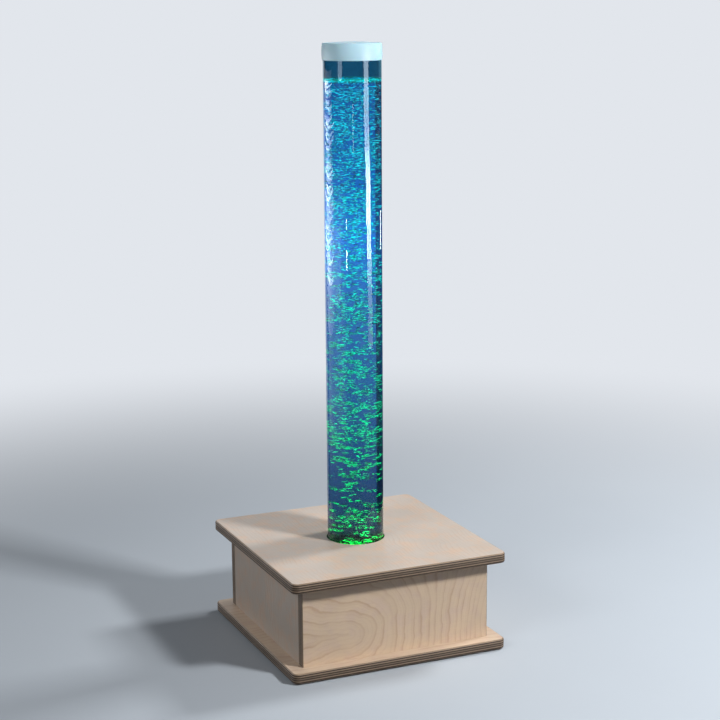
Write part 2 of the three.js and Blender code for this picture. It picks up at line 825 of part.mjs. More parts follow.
function pumpCover() {
  const shell = pumpShell(pump_height, 0, cover_round);
  const hollow = pumpShell(pump_height - pump_wall, pump_wall, cover_round - pump_wall);
  const below = block(2 * pump_width, 2 * pump_length, tray_height + seat_gap);
  return cut(shell, hollow, below);
}

function pumpCore() {
  const inside_length = core_length - core_leg + cut_overrun;
  const body = block(magnet_width, core_length, core_height, 0, -core_length / 2);
  const inside = block(2 * magnet_width, inside_length, magnet_height, 0, cut_overrun - inside_length / 2, core_leg);
  return cut(body, inside);
}

function pumpCoil() {
  const height = magnet_height - 2 * seat_gap;
  const hole = block(magnet_width + 2 * seat_gap, core_leg + 2 * seat_gap, height + 2 * cut_overrun, 0, 0, -cut_overrun);
  const outline = roundedRectangle(magnet_width + 2 * coil_build, core_leg + 2 * coil_build, coil_build / 2);
  return cut(plate(outline, height), hole);
}

function pumpArm() {
  const reach = pivot_y - pole_y - pole_gap - magnet_thickness - seat_gap;
  const bar = block(arm_width, reach, arm_thickness, 0, -reach / 2, -arm_thickness / 2);
  const barrel_length = upright_gap - 2 * seat_gap;
  const barrel = alongX(rod(barrel_radius, barrel_length, 0, 0, -barrel_length / 2));
  const bore_length = barrel_length + 2 * cut_overrun;
  const bore = alongX(rod(pin_radius + seat_gap, bore_length, 0, 0, -bore_length / 2, tiny_sides));
  return cut(joined(bar, barrel), bore);
}

function pumpPin() {
  const length = upright_gap + 2 * upright_thickness;
  return alongX(rod(pin_radius, length, 0, 0, -length / 2, tiny_sides));
}

function diaphragm() {
  const mid = diaphragm_height - diaphragm_wall;
  return turned([
    [0, 0],
    [diaphragm_radius, 0],
    [diaphragm_radius, diaphragm_wall],
    [diaphragm_radius * 0.75, diaphragm_wall],
    [diaphragm_radius * 0.6, mid],
    [boss_radius, mid],
    [boss_radius, diaphragm_height],
    [0, diaphragm_height],
  ]);
}

function valveBlock() {
  const body = block(valve_width, valve_width, valve_height);
  const tail = alongY(barb(nozzle_reach)).translate(0, valve_width / 2 - cut_overrun, nozzle_level - valve_bottom);
  const way_length = valve_width / 2 + nozzle_reach + cut_overrun;
  const way = alongY(rod(barb_bore, way_length, 0, 0, 0, tiny_sides)).translate(0, 0, nozzle_level - valve_bottom);
  return cut(joined(body, tail), way);
}

const coil_y = pole_y - core_length + core_leg / 2;
pump.add(
  piece("pump_tray", pumpTray(), pump_plastic),
  piece("pump_cover", pumpCover(), pump_plastic),
  piece("pump_core", pumpCore(), zinc_steel, 0, pole_y, core_bottom),
  piece("pump_coil", pumpCoil(), copper_wire, 0, coil_y, core_bottom + core_leg + seat_gap),
  piece("pump_valve_block", valveBlock(), nylon, 0, valve_y, valve_bottom),
  piece("pump_diaphragm", diaphragm(), black_rubber, 0, valve_y, diaphragm_bottom),
  piece("pump_pivot_pin", pumpPin(), zinc_steel, 0, pivot_y, arm_middle),
  piece("pump_arm", pumpArm(), zinc_steel, 0, pivot_y, arm_middle),
  piece("pump_magnet", block(magnet_width, magnet_thickness, magnet_height), dark_magnet, 0, magnet_y,
    arm_middle - magnet_height / 2),
);
bubbleTube.add(pump);

// Check valve: keeps the water out of the pump when the air stops
const check_x = 60;
const check_y = 108;
const check_radius = 8;
const check_length = 12;
const check_barb = 14;
const check_step = 2;
const air_level = base_top + seat_gap + nozzle_level;

function checkValve() {
  const half = check_length / 2;
  const body = alongX(turned([
    [0, -half],
    [check_radius - check_step, -half],
    [check_radius, -half + check_step],
    [check_radius, -check_step / 2],
    [check_radius + check_step / 2, 0],
    [check_radius, check_step / 2],
    [check_radius, half - check_step],
    [check_radius - check_step, half],
    [0, half],
  ]));
  const tail = alongX(barb(check_barb + check_step)).translate(half - check_step, 0, 0);
  return joined(body, tail, tail.clone().rotateZ(Math.PI));
}

bubbleTube.add(piece("check_valve", checkValve(), nylon, check_x, check_y, air_level));

// Hoses, laid from barb to barb along the base board
const hose_steps = 12;
const hose_sides = 8;
const hose_overlap = 10;
const pump_barb_y = pump_y + pump_length / 2 + 2;
const check_end = check_length / 2 + check_barb - hose_overlap;
const pump_air_points = [
  [pump_x, pump_barb_y, air_level],
  [pump_x, pump_barb_y + 14, air_level],
  [pump_x - 3, pump_barb_y + 36, air_level],
  [pump_x - 14, check_y - 6, air_level],
  [pump_x - 28, check_y, air_level],
  [check_x + check_end + 8, check_y, air_level],
  [check_x + check_end - 2, check_y, air_level],
];
const tube_air_points = [
  [check_x - check_end + 2, check_y, air_level],
  [check_x - check_end - 8, check_y, air_level],
  [check_x - 36, check_y - 3, air_level],
  [14, 92, air_level - 2],
  [2, 70, hose_level + 1],
  [0, 50, hose_level],
  [0, 34, hose_level],
  [0, 17, hose_level],
];
const drain_level = base_top + seat_gap + fitting_height;
const drain_points = [
  [drain_offset, 17, hose_level],
  [drain_offset, 34, hose_level],
  [drain_offset + 1, 56, hose_level],
  [drain_offset + 6, 78, hose_level + 2],
  [43, 101, 46],
  [drain_x - 3, 117, drain_level - 1],
  [drain_x, 129, drain_level],
  [drain_x, 144, drain_level],
];
bubbleTube.add(
  piece("pump_air_hose", hose(pump_air_points, hose_radius, hose_bore, hose_steps, hose_sides), silicone_hose),
  piece("tube_air_hose", hose(tube_air_points, hose_radius, hose_bore, hose_steps, hose_sides), silicone_hose),
  piece("drain_hose", hose(drain_points, hose_radius, hose_bore, hose_steps, hose_sides), silicone_hose),
);

// Drain tap on the back: a bulkhead body, a hose spout underneath and a quarter-turn lever
const tap_flange_radius = 12;
const tap_flange_thickness = 3;
const tap_barrel_radius = 9;
const tap_barrel_length = 14;
const tap_tail = 20;
const spout_y = 7;
const boss_outer = 6.4;
const boss_drop = 13;
const spout_radius = 5;
const spout_bore = 3.4;
const spout_length = 18;
const spout_seat = 5;
const lever_hub = 6;
const lever_thickness = 4;
const lever_length = 28;
const lever_width = 8;
const lever_end_share = 0.49;
const plug_radius = 3;
const plug_length = 12;
const plug_bore = 1.8;
const tap = new THREE.Group();
tap.position.set(drain_x, box_half + seat_gap, drain_level);

function tapBody() {
  const stem_length_inside = board_thickness + 2 * seat_gap;
  const round = alongY(turned([
    [0, -stem_length_inside],
    [drain_stem_radius, -stem_length_inside],
    [drain_stem_radius, 0],
    [tap_flange_radius, 0],
    [tap_flange_radius, tap_flange_thickness],
    [tap_barrel_radius, tap_flange_thickness],
    [tap_barrel_radius, tap_barrel_length],
    [0, tap_barrel_length],
  ]));
  const tail = alongY(barb(tap_tail)).rotateZ(Math.PI).translate(0, -stem_length_inside + cut_overrun, 0);
  const boss = rod(boss_outer, boss_drop, 0, spout_y, -boss_drop);
  const socket_depth = spout_seat + cut_overrun;
  const socket = rod(spout_radius + seat_gap, socket_depth, 0, spout_y, -boss_drop - cut_overrun);
  const plug_depth = plug_length + seat_gap;
  const plug_hole = alongY(rod(plug_radius + seat_gap, plug_depth + cut_overrun));
  const drop = rod(plug_bore, boss_drop, 0, spout_y, -boss_drop, tiny_sides);
  const way_length = tap_barrel_length + stem_length_inside + tap_tail;
  const way = alongY(rod(barb_bore, way_length, 0, 0, 0, tiny_sides));
  return cut(
    joined(round, tail, boss),
    socket,
    drop,
    plug_hole.translate(0, tap_barrel_length - plug_depth, 0),
    way.translate(0, tap_barrel_length - plug_depth / 2 - way_length, 0),
  );
}

// The lever carries a plug with a bore along its axis and one port on the lever's side
function tapLever() {
  const hub = rod(lever_hub, lever_thickness);
  const plug = rod(plug_radius, plug_length + lever_thickness, 0, 0, -plug_length);
  const outline = roundedRectangle(lever_length + lever_width / 2, lever_width, lever_width * lever_end_share);
  const blade = plate(outline, lever_thickness).translate(lever_length / 2, 0, 0);
  const port_depth = plug_length + seat_gap - (tap_barrel_length - spout_y);
  const bore = rod(plug_bore, port_depth + plug_bore + cut_overrun, 0, 0, -plug_length - cut_overrun, tiny_sides);
  const port = alongX(rod(plug_bore, plug_radius + cut_overrun, 0, 0, 0, tiny_sides));
  return alongY(cut(joined(hub, plug, blade), bore, port.translate(0, 0, port_depth - plug_length)));
}

tap.add(
  piece("drain_tap_body", tapBody(), black_plastic),
  piece("drain_spout", ring(spout_radius, spout_bore, spout_length, tiny_sides), black_plastic, 0, spout_y,
    -boss_drop + spout_seat - seat_gap - spout_length),
  piece("drain_lever", tapLever(), black_plastic, 0, tap_barrel_length + seat_gap, 0),
);
bubbleTube.add(tap);

// Power socket: a round jack with its centre pin
const socket_flange_radius = 8;
const socket_flange_thickness = 2;
const socket_depth = 15;
const jack_bore = 3.1;
const jack_depth = 11;
const jack_pin = 1.05;
const jack_pin_length = 9.5;

function powerSocket() {
  const body = alongY(turned([
    [0, -socket_depth],
    [socket_radius, -socket_depth],
    [socket_radius, 0],
    [socket_flange_radius, 0],
    [socket_flange_radius, socket_flange_thickness],
    [0, socket_flange_thickness],
  ]));
  const bottom = socket_flange_thickness - jack_depth;
  const bore = alongY(rod(jack_bore, jack_depth + cut_overrun, 0, 0, bottom));
  const pin = alongY(rod(jack_pin, jack_pin_length, 0, 0, bottom - cut_overrun, tiny_sides));
  return joined(cut(body, bore), pin);
}

// Power switch: a rocker on two short trunnions in a snap-in frame
const bezel_width = 16;
const bezel_height = 31;
const bezel_thickness = 2;
const bezel_ease = 0.8;
const switch_depth = 15;
const rocker_width = 9.4;
const rocker_length = 21;
const rocker_rise = 3.6;
const rocker_dip = 1.4;
const rocker_root = 2;
const rocker_tilt = (8 * Math.PI) / 180;
const rocker_sink = 2.2;
const rocker_trunnion = 0.9;
const rocker_trunnion_length = 1;
const well_clear = 1;
const well_depth = 8;

function switchFrame() {
  const bezel_outline = roundedRectangle(bezel_width, bezel_height, bezel_thickness);
  const bezel = easedPlate(bezel_outline, 2 * bezel_thickness, bezel_ease).translate(0, 0, -bezel_thickness);
  const hidden = block(2 * bezel_width, 2 * bezel_height, 2 * bezel_thickness, 0, 0, -2 * bezel_thickness);
  const face = cut(bezel, hidden);
  const body = block(switch_body_width, switch_body_height, switch_depth + cut_overrun, 0, 0, -switch_depth);
  const well = block(rocker_width + 2 * seat_gap, rocker_length + 2 * well_clear, well_depth + cut_overrun, 0, 0, bezel_thickness - well_depth);
  const hole_length = rocker_width + 2 * (seat_gap + rocker_trunnion_length + seat_gap);
  const hole = alongX(rod(rocker_trunnion + seat_gap, hole_length, 0, 0, -hole_length / 2, tiny_sides));
  const frame = cut(joined(face, body), well, hole.translate(0, 0, bezel_thickness - rocker_sink));
  return alongY(frame);
}

function switchRocker() {
  const half = rocker_length / 2;
  const side = new THREE.Shape();
  side.moveTo(-half, -rocker_root);
  side.lineTo(half, -rocker_root);
  side.lineTo(half, rocker_rise);
  side.lineTo(0, rocker_rise - rocker_dip);
  side.lineTo(-half, rocker_rise);
  side.closePath();
  const body = plate(side, rocker_width).translate(0, 0, -rocker_width / 2);
  const pin_length = rocker_width + 2 * rocker_trunnion_length;
  const pin = rod(rocker_trunnion, pin_length, 0, 0, -pin_length / 2, tiny_sides);
  return joined(body, pin).rotateY(Math.PI / 2).rotateX(rocker_tilt);
}

const rear = new THREE.Group();
rear.position.set(0, box_half + seat_gap, drain_level);
rear.add(
  piece("power_socket", powerSocket(), black_plastic, socket_x),
  piece("switch_frame", switchFrame(), black_plastic, switch_x),
  piece("switch_rocker", switchRocker(), black_plastic, switch_x, bezel_thickness - rocker_sink),
);
bubbleTube.add(rear);

// Control board on its carrier: terminals, a capacitor and a finned heat sink
const carrier_width = 66;
const carrier_length = 116;
const carrier_thickness = 2;
const carrier_side_gap = 10;
const carrier_y = -8;
const carrier_x = carrier_side_gap + carrier_width / 2 - inner_half;
const carrier_corner = 6;
const peg_radius = 3;
const peg_height = 5;
const peg_inset = 7;
const circuit_inset = 2;
const terminal_width = 10;
const terminal_length = 20;
const terminal_height = 11;
const capacitor_radius = 8;
const capacitor_height = 20;
const fin_count = 6;
const fin_thickness = 1.2;
const fin_pitch = 4;
const fin_height = 16;
const fin_length = 22;

function boardCarrier() {
  const pegs = corners.map(([sx, sy]) => {
    const [x, y] = [carrier_width / 2 - peg_inset, carrier_length / 2 - peg_inset];
    return rod(peg_radius, carrier_thickness + peg_height, sx * x, sy * y, 0, tiny_sides);
  });
  return joined(plate(roundedRectangle(carrier_width, carrier_length, carrier_corner), carrier_thickness), ...pegs);
}

const circuit_width = carrier_width - 2 * circuit_inset;
const circuit_length = carrier_length - 2 * circuit_inset;
const terminal_x = (circuit_width - terminal_width) / 2;
const terminal_y = (circuit_length - terminal_length) / 2;

function controlBoard() {
  const rise = circuit_thickness / 2;
  const terminals = [[-1, 1], [1, -1], [1, 1]].map(([sx, sy]) => {
    const height = terminal_height + rise;
    return block(terminal_width, terminal_length, height, sx * terminal_x, sy * terminal_y, rise);
  });
  const fins = Array.from({ length: fin_count }, (_, i) => {
    return block(fin_thickness, fin_length, fin_height + rise, (i - (fin_count - 1) / 2) * fin_pitch, 0, rise);
  });
  const sink_width = (fin_count - 1) * fin_pitch + fin_thickness;
  return joined(
    block(circuit_width, circuit_length, circuit_thickness),
    ...terminals,
    rod(capacitor_radius, capacitor_height + rise, 0, -circuit_length / 2 + 2 * capacitor_radius, rise),
    block(sink_width, fin_length, 2 * fin_thickness + rise, 0, 0, rise),
    ...fins,
  );
}

const carrier_bottom = base_top + seat_gap;
const circuit_bottom = carrier_bottom + carrier_thickness + peg_height + seat_gap;
bubbleTube.add(
  piece("board_carrier", boardCarrier(), nylon, carrier_x, carrier_y, carrier_bottom),
  piece("control_board", controlBoard(), circuit_green, carrier_x, carrier_y, circuit_bottom),
);

// Leads: from the socket and the switch to the board, and on to the lights and the pump
const lead_radius = 2;
const lead_steps = 16;
const lead_sides = 6;
const lead_floor = base_top + lead_radius + seat_gap;
const terminal_level = circuit_bottom + circuit_thickness + terminal_height / 2;
const board_end = carrier_y + circuit_length / 2 + seat_gap;
const board_side = carrier_x + circuit_width / 2 + seat_gap;
const socket_tail = box_half - socket_depth;
const switch_tail = box_half - switch_depth;
const lead_points = {
  socket_lead: [
    [socket_x, socket_tail, drain_level],
    [socket_x - 1, socket_tail - 12, drain_level - 1],
    [socket_x - 10, 130, drain_level - 12],
    [carrier_x + terminal_x + 2, 95, terminal_level + 3],
    [carrier_x + terminal_x, board_end + 22, terminal_level],
    [carrier_x + terminal_x, board_end, terminal_level],
  ],
  switch_lead: [
    [switch_x, switch_tail, drain_level],
    [switch_x - 1, switch_tail - 12, drain_level - 1],
    [switch_x - 14, 128, drain_level - 12],
    [carrier_x - terminal_x - 2, 95, terminal_level + 3],
    [carrier_x - terminal_x, board_end + 22, terminal_level],
    [carrier_x - terminal_x, board_end, terminal_level],
  ],
  light_lead: [
    [board_side, carrier_y + terminal_y, terminal_level],
    [board_side + 6, carrier_y + terminal_y, terminal_level],
    [board_side + 17, carrier_y + terminal_y - 8, lead_floor + 2],
    [board_side + 20, carrier_y + terminal_y - 22, lead_floor],
    [-sink_outer - 8, 0, lead_floor],
    [-sink_outer - seat_gap, 0, lead_floor],
  ],
  pump_lead: [
    [board_side, carrier_y - terminal_y, terminal_level],
    [board_side + 6, carrier_y - terminal_y, terminal_level],
    [board_side + 18, carrier_y - terminal_y - 14, lead_floor + 3],
    [-30, -104, lead_floor],
    [30, -104, lead_floor],
    [66, -78, lead_floor],
    [pump_x - pump_width / 2 - 10, -50, lead_floor],
    [pump_x - pump_width / 2 - seat_gap, -50, lead_floor],
  ],
};
for (const [name, points] of Object.entries(lead_points)) {
  bubbleTube.add(piece(name, hose(points, lead_radius, 0, lead_steps, lead_sides), lead_jacket));
}

export default bubbleTube;
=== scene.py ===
import math
import random

import bmesh
import bpy
from mathutils import Matrix, Vector, noise


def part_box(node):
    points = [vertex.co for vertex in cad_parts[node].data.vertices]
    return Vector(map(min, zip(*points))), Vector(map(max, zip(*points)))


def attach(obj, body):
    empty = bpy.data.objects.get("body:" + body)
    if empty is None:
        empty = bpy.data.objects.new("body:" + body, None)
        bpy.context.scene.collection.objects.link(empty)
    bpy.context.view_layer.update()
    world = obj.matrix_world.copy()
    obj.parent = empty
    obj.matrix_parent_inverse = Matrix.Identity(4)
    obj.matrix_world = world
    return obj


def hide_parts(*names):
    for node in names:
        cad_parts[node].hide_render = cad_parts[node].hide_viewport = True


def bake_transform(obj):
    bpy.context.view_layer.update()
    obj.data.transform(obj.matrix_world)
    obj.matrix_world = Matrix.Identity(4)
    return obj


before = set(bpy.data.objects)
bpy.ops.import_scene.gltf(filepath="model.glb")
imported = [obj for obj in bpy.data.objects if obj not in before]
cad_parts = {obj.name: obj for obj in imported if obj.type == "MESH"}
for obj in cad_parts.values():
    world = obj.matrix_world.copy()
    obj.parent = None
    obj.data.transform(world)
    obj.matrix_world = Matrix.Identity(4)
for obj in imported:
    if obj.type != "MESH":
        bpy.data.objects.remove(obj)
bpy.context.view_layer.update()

# The tube was photographed from its front left corner, from a little above the cap, with a
# long lens. The camera was fitted to the edges of the two boards, the tube and the cap.
camera_data = bpy.data.cameras.new("camera")
camera = bpy.data.objects.new("camera", camera_data)
bpy.context.scene.collection.objects.link(camera)
bpy.context.scene.camera = camera
camera_data.sensor_width = 36
camera_data.lens = 84.79
camera_data.clip_end = 100
camera_yaw, camera_pitch, camera_roll = (math.radians(a) for a in (23.79, -12.02, -0.39))
camera_turn = (
    Matrix.Rotation(-camera_yaw, 4, "Z")
    @ Matrix.Rotation(math.pi / 2 + camera_pitch, 4, "X")
    @ Matrix.Rotation(camera_roll, 4, "Z")
)
camera_place = Matrix.Translation((-1.16668, -2.67158, 1.12111))
camera.matrix_world = camera_place @ camera_turn

# Feet: four moulded rubber pads, pressed into shallow recesses under the base board. They
# are dull black, with a fine grain from the mould and edges rounded by it.
MM = 0.001


class Wiring:
    """Adds nodes to a tree, with their values and links given by socket name or number."""

    def __init__(self, tree):
        self.tree = tree

    def set(self, socket, value):
        if isinstance(value, bpy.types.NodeSocket):
            self.tree.links.new(value, socket)
        else:
            socket.default_value = value

    def add(self, kind, out=0, settings=(), **inputs):
        node = self.tree.nodes.new(kind)
        for key, value in dict(settings).items():
            setattr(node, key, value)
        for key, value in inputs.items():
            numbered = key[0] == "i" and key[1:].isdigit()
            self.set(node.inputs[int(key[1:]) if numbered else key.replace("_", " ")], value)
        return node.outputs[out]

    def math(self, operation, a, b=0.0, c=0.0):
        return self.add("ShaderNodeMath", settings={"operation": operation}, i0=a, i1=b, i2=c)

    def plus(self, a, b):
        return self.math("ADD", a, b)

    def minus(self, a, b):
        return self.math("SUBTRACT", a, b)

    def times(self, a, b):
        return self.math("MULTIPLY", a, b)

    def rising(self, value, by, start):
        """The start, and so much more for each one of the value."""
        return self.math("MULTIPLY_ADD", value, by, start)

    def vary(self, value, by, around=1.0):
        """Moves a number up and down with a value that wanders about one half."""
        return self.rising(self.minus(value, 0.5), by, around)

    def reach(self, x, y):
        """How far a place lies from an axis, from its two coordinates across it."""
        return self.math("SQRT", self.plus(self.times(x, x), self.times(y, y)))

    def fade(self, value, low, high, to_low=0.0, to_high=1.0):
        """Goes smoothly from one value to another over a range, and holds them beyond it."""
        smooth = {"interpolation_type": "SMOOTHSTEP"}
        return self.add(
            "ShaderNodeMapRange", settings=smooth, i0=value, i1=low, i2=high, i3=to_low, i4=to_high
        )

    def level(self, value, low, high):
        return self.add("ShaderNodeMapRange", i0=value, i1=low, i2=high)

    def vector(self, x, y, z=0.0):
        return self.add("ShaderNodeCombineXYZ", X=x, Y=y, Z=z)

    def stretched(self, *pairs):
        """A place whose coordinates are each times a number of their own."""
        return self.vector(*[self.times(value, by) for value, by in pairs])

    def split(self, vector):
        node = self.tree.nodes.new("ShaderNodeSeparateXYZ")
        self.set(node.inputs[0], vector)
        return tuple(node.outputs)

    def noise(self, vector, scale, detail=3.0, roughness=0.5):
        return self.add(
            "ShaderNodeTexNoise", Vector=vector, Scale=scale, Detail=detail, Roughness=roughness
        )

    def blend(self, share, a, b):
        """A value that goes from a to b with the share."""
        return self.add("ShaderNodeMix", Factor=share, A=a, B=b)

    def mix(self, share, a, b, blend="MIX"):
        """A colour that goes from a to b with the share."""
        node = self.tree.nodes.new("ShaderNodeMix")
        node.data_type = "RGBA"
        node.blend_type = blend
        for number, value in ((0, share), (6, a), (7, b)):
            self.set(node.inputs[number], value)
        return node.outputs[2]

    def toned(self, colour, tone):
        return self.mix(1.0, colour, self.vector(tone, tone, tone), "MULTIPLY")

    def ramp(self, value, *stops):
        node = self.tree.nodes.new("ShaderNodeValToRGB")
        self.set(node.inputs[0], value)
        elements = node.color_ramp.elements
        for number, (place, colour) in enumerate(stops):
            element = elements[number] if number < 2 else elements.new(place)
            element.position = place
            element.color = colour if isinstance(colour, tuple) else (colour, colour, colour, 1)
        return node.outputs[0]

    def place(self):
        return self.add("ShaderNodeTexCoord", out="Object")

    def bump(self, height, strength, distance):
        return self.add("ShaderNodeBump", Height=height, Strength=strength, Distance=distance)

    def group(self, tree, **inputs):
        node = self.tree.nodes.new("ShaderNodeGroup")
        node.node_tree = tree
        for key, value in inputs.items():
            self.set(node.inputs[key.replace("_", " ")], value)
        return node.outputs


def new_material(name):
    material = bpy.data.materials.new(name)
    material.use_nodes = True
    return material, Wiring(material.node_tree), material.node_tree.nodes["Principled BSDF"].inputs


def new_tree(name, kind, inputs, outputs):
    """A node group with named sockets, its wiring, and the sockets at its two ends."""
    tree = bpy.data.node_groups.new(name, kind)

    def add_socket(label, value_kind, way):
        socket_type = "NodeSocket" + value_kind
        return tree.interface.new_socket(label, in_out=way, socket_type=socket_type)

    for label, value_kind, *value in inputs:
        socket = add_socket(label, value_kind, "INPUT")
        if value:
            socket.default_value = value[0]
    for label, value_kind in outputs:
        add_socket(label, value_kind, "OUTPUT")
    ends = (tree.nodes.new("NodeGroupInput").outputs, tree.nodes.new("NodeGroupOutput").inputs)
    return tree, Wiring(tree), *ends


def shade(red, green, blue):
    """A colour given as it looks, 0 to 255, made linear by the sRGB rule as shaders take it."""
    parts = [c / 255 for c in (red, green, blue)]
    return (*[c / 12.92 if c <= 0.04045 else ((c + 0.055) / 1.055) ** 2.4 for c in parts], 1.0)


FINISH = [("Colour", "Color"), ("Roughness", "Float"), ("Height", "Float")]
moulded_grain, g, ins, outs = new_tree(
    "moulded_grain",
    "ShaderNodeTree",
    [
        ("Vector", "Vector"),
        ("Colour", "Color"),
        ("Clouding", "Float", 0.1),
        ("Grain Scale", "Float", 1500.0),
        ("Roughness", "Float", 0.5),
        ("Spread", "Float", 0.1),
    ],
    FINISH,
)
cloud = g.minus(g.noise(ins["Vector"], scale=35.0, detail=4.0), 0.5)
grain = g.noise(ins["Vector"], ins["Grain Scale"], detail=2.0)
uneven = g.plus(cloud, g.minus(grain, 0.5))
g.set(outs["Colour"], g.toned(ins["Colour"], g.rising(cloud, by=ins["Clouding"], start=1.0)))
g.set(outs["Roughness"], g.rising(uneven, by=ins["Spread"], start=ins["Roughness"]))
g.set(outs["Height"], grain)
GLOSS_SPREAD_SHARE = 0.3
GRAIN_STRENGTH = 0.4


def moulded(name, colour, roughness, clouding=0.15, grain_scale=1500.0, depth=0.03, **plain):
    """A moulded, cast or drawn finish with fine grain and faint clouding."""
    material, nodes, sockets = new_material(name)
    made = nodes.group(
        moulded_grain,
        Vector=nodes.place(),
        Colour=colour,
        Clouding=clouding,
        Grain_Scale=grain_scale,
        Roughness=roughness,
        Spread=roughness * GLOSS_SPREAD_SHARE,
    )
    nodes.set(sockets["Base Color"], made["Colour"])
    nodes.set(sockets["Roughness"], made["Roughness"])
    nodes.set(sockets["Normal"], nodes.bump(made["Height"], GRAIN_STRENGTH, depth * MM))
    for key, value in plain.items():
        sockets[key.replace("_", " ")].default_value = value
    return material


CREASE_DEGREES = 35
FLAT_DEGREES = 1
SAME_CORNER = 1e-6
ROUNDING_SEGMENTS = 2


def add_piece(name, mesh, material, body, stands_for, crease=CREASE_DEGREES):
    """A finished piece in place of the nodes named. It rides on a body, when one is given."""
    if material:
        mesh.materials.clear()
        mesh.materials.append(material)
    mesh.shade_smooth()
    mesh.set_sharp_from_angle(angle=math.radians(crease))
    piece = bpy.data.objects.new(name, mesh)
    bpy.context.scene.collection.objects.link(piece)
    if body:
        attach(piece, body)
    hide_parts(*stands_for)
    return piece


def finished_mesh(mesh, add_modifiers):
    """The plain mesh that modifiers make of this one."""
    carrier = bpy.data.objects.new(mesh.name, mesh)
    bpy.context.scene.collection.objects.link(carrier)
    add_modifiers(carrier)
    seen = carrier.evaluated_get(bpy.context.evaluated_depsgraph_get())
    made = bpy.data.meshes.new_from_object(seen)
    bpy.data.objects.remove(carrier)
    return made


def softened(node, material, body, radius):
    """Stands for a node in its own shape, with edges rounded as its mould rounds them."""
    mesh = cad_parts[node].data.copy()
    mesh.materials.clear()
    mesh.materials.append(material)
    bm = bmesh.new()
    bm.from_mesh(mesh)
    bmesh.ops.remove_doubles(bm, verts=bm.verts, dist=SAME_CORNER)
    flat = math.radians(FLAT_DEGREES)
    bmesh.ops.dissolve_limit(bm, angle_limit=flat, verts=bm.verts, edges=bm.edges)
    bm.to_mesh(mesh)
    bm.free()

    def round_edges(carrier):
        rounding = carrier.modifiers.new("rounding", "BEVEL")
        rounding.width = radius
        rounding.segments = ROUNDING_SEGMENTS
        rounding.limit_method = "ANGLE"
        rounding.angle_limit = math.radians(CREASE_DEGREES)

    made = finished_mesh(mesh, round_edges)
    return add_piece(node + "_moulded", made, None, body, (node,))


foot_rubber = moulded("foot_rubber", shade(34, 34, 35), 0.78, grain_scale=2200.0, depth=0.06)
for number in range(1, 5):
    softened(f"foot_{number}", foot_rubber, "plinth", radius=0.4 * MM)

# Base board and lid board: 18 mm birch plywood, nine peeled plies glued crosswise. Their
# corners are cut to a radius, and a router has eased every edge, which bares the plies.
PLY_COUNT = 9
GLUE_LINE_SHARE = 0.1
VENEER_START_SHARE = 0.491
GRAIN_DEPTH = 0.12 * MM
LINES_IN_A_RING = 3.0
FINE_LINE_STRENGTH = 0.22
BOARD_CORNER = 12 * MM
BOARD_EASE = 3 * MM
CORNER_STEPS, EASE_STEPS, HOLE_SIDES = 10, 6, 160
FLAT_RIM = 0.4 * MM
HOLE_BEVEL = 0.3 * MM
GAP = 0.3 * MM
LID_HOLE_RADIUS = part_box("tube_grommet")[1].x + GAP

birch_veneer, g, ins, outs = new_tree(
    "birch_veneer",
    "ShaderNodeTree",
    [
        ("Figure", "Float"),
        ("Spacing", "Float", 20.0),
        ("Line Strength", "Float", 0.5),
        ("Waviness", "Float", 10.0),
        ("Grain", "Vector"),
        ("Pale", "Color"),
        ("Blush", "Color"),
        ("Line", "Color"),
    ],
    FINISH,
)
along, across, _ = g.split(ins["Grain"])
plane = g.vector(along, across)
sway = g.minus(g.noise(plane, scale=0.017, detail=2.0), 0.5)
sway = g.times(sway, ins["Waviness"])
shiver = g.minus(g.noise(plane, scale=0.09, roughness=0.6), 0.5)
shiver = g.times(shiver, g.times(ins["Waviness"], 0.16))
figure = g.math("DIVIDE", g.plus(g.plus(sway, shiver), ins["Figure"]), ins["Spacing"])
uneven = g.noise(g.vector(figure, 0.0), scale=0.55, detail=1.0)
figure = g.vary(uneven, by=1.3, around=figure)
late = g.ramp(
    g.math("FRACT", figure),
    (0.0, 0.12),
    (0.2, 0.0),
    (0.5, 0.04),
    (0.76, 0.35),
    (0.88, 1.0),
    (0.94, 0.8),
    (1.0, 0.12),
)
within = g.math("FRACT", g.times(figure, LINES_IN_A_RING))
fine = g.ramp(within, (0.0, 0.0), (0.55, 0.1), (0.85, 1.0), (1.0, 0.0))
depth = g.fade(g.noise(plane, scale=0.014, detail=2.0), 0.36, 0.62, to_low=0.3)
lines = g.plus(g.times(late, depth), g.times(fine, FINE_LINE_STRENGTH))
lines = g.times(lines, ins["Line Strength"])
fibre = g.stretched((along, 0.05), (across, 1.3))
fibre = g.noise(fibre, scale=1.0, detail=4.0, roughness=0.6)
flecks = g.noise(g.stretched((along, 0.2), (across, 2.2)), scale=1.0, detail=1.0)
flecks = g.fade(flecks, 0.66, 0.78)
cloud = g.noise(plane, scale=0.012)
blush = g.fade(g.noise(plane, scale=0.028, detail=4.0, roughness=0.6), 0.42, 0.68)
tone = g.vary(fibre, by=0.2)
tone = g.vary(cloud, by=0.26, around=tone)
tone = g.rising(flecks, by=-0.08, start=tone)
wood = g.mix(lines, g.mix(blush, ins["Pale"], ins["Blush"]), ins["Line"])
g.set(outs["Colour"], g.toned(wood, tone))
g.set(outs["Roughness"], g.rising(fibre, by=0.18, start=0.42))
g.set(outs["Height"], g.minus(g.times(fibre, 0.7), g.rising(flecks, by=0.5, start=lines)))

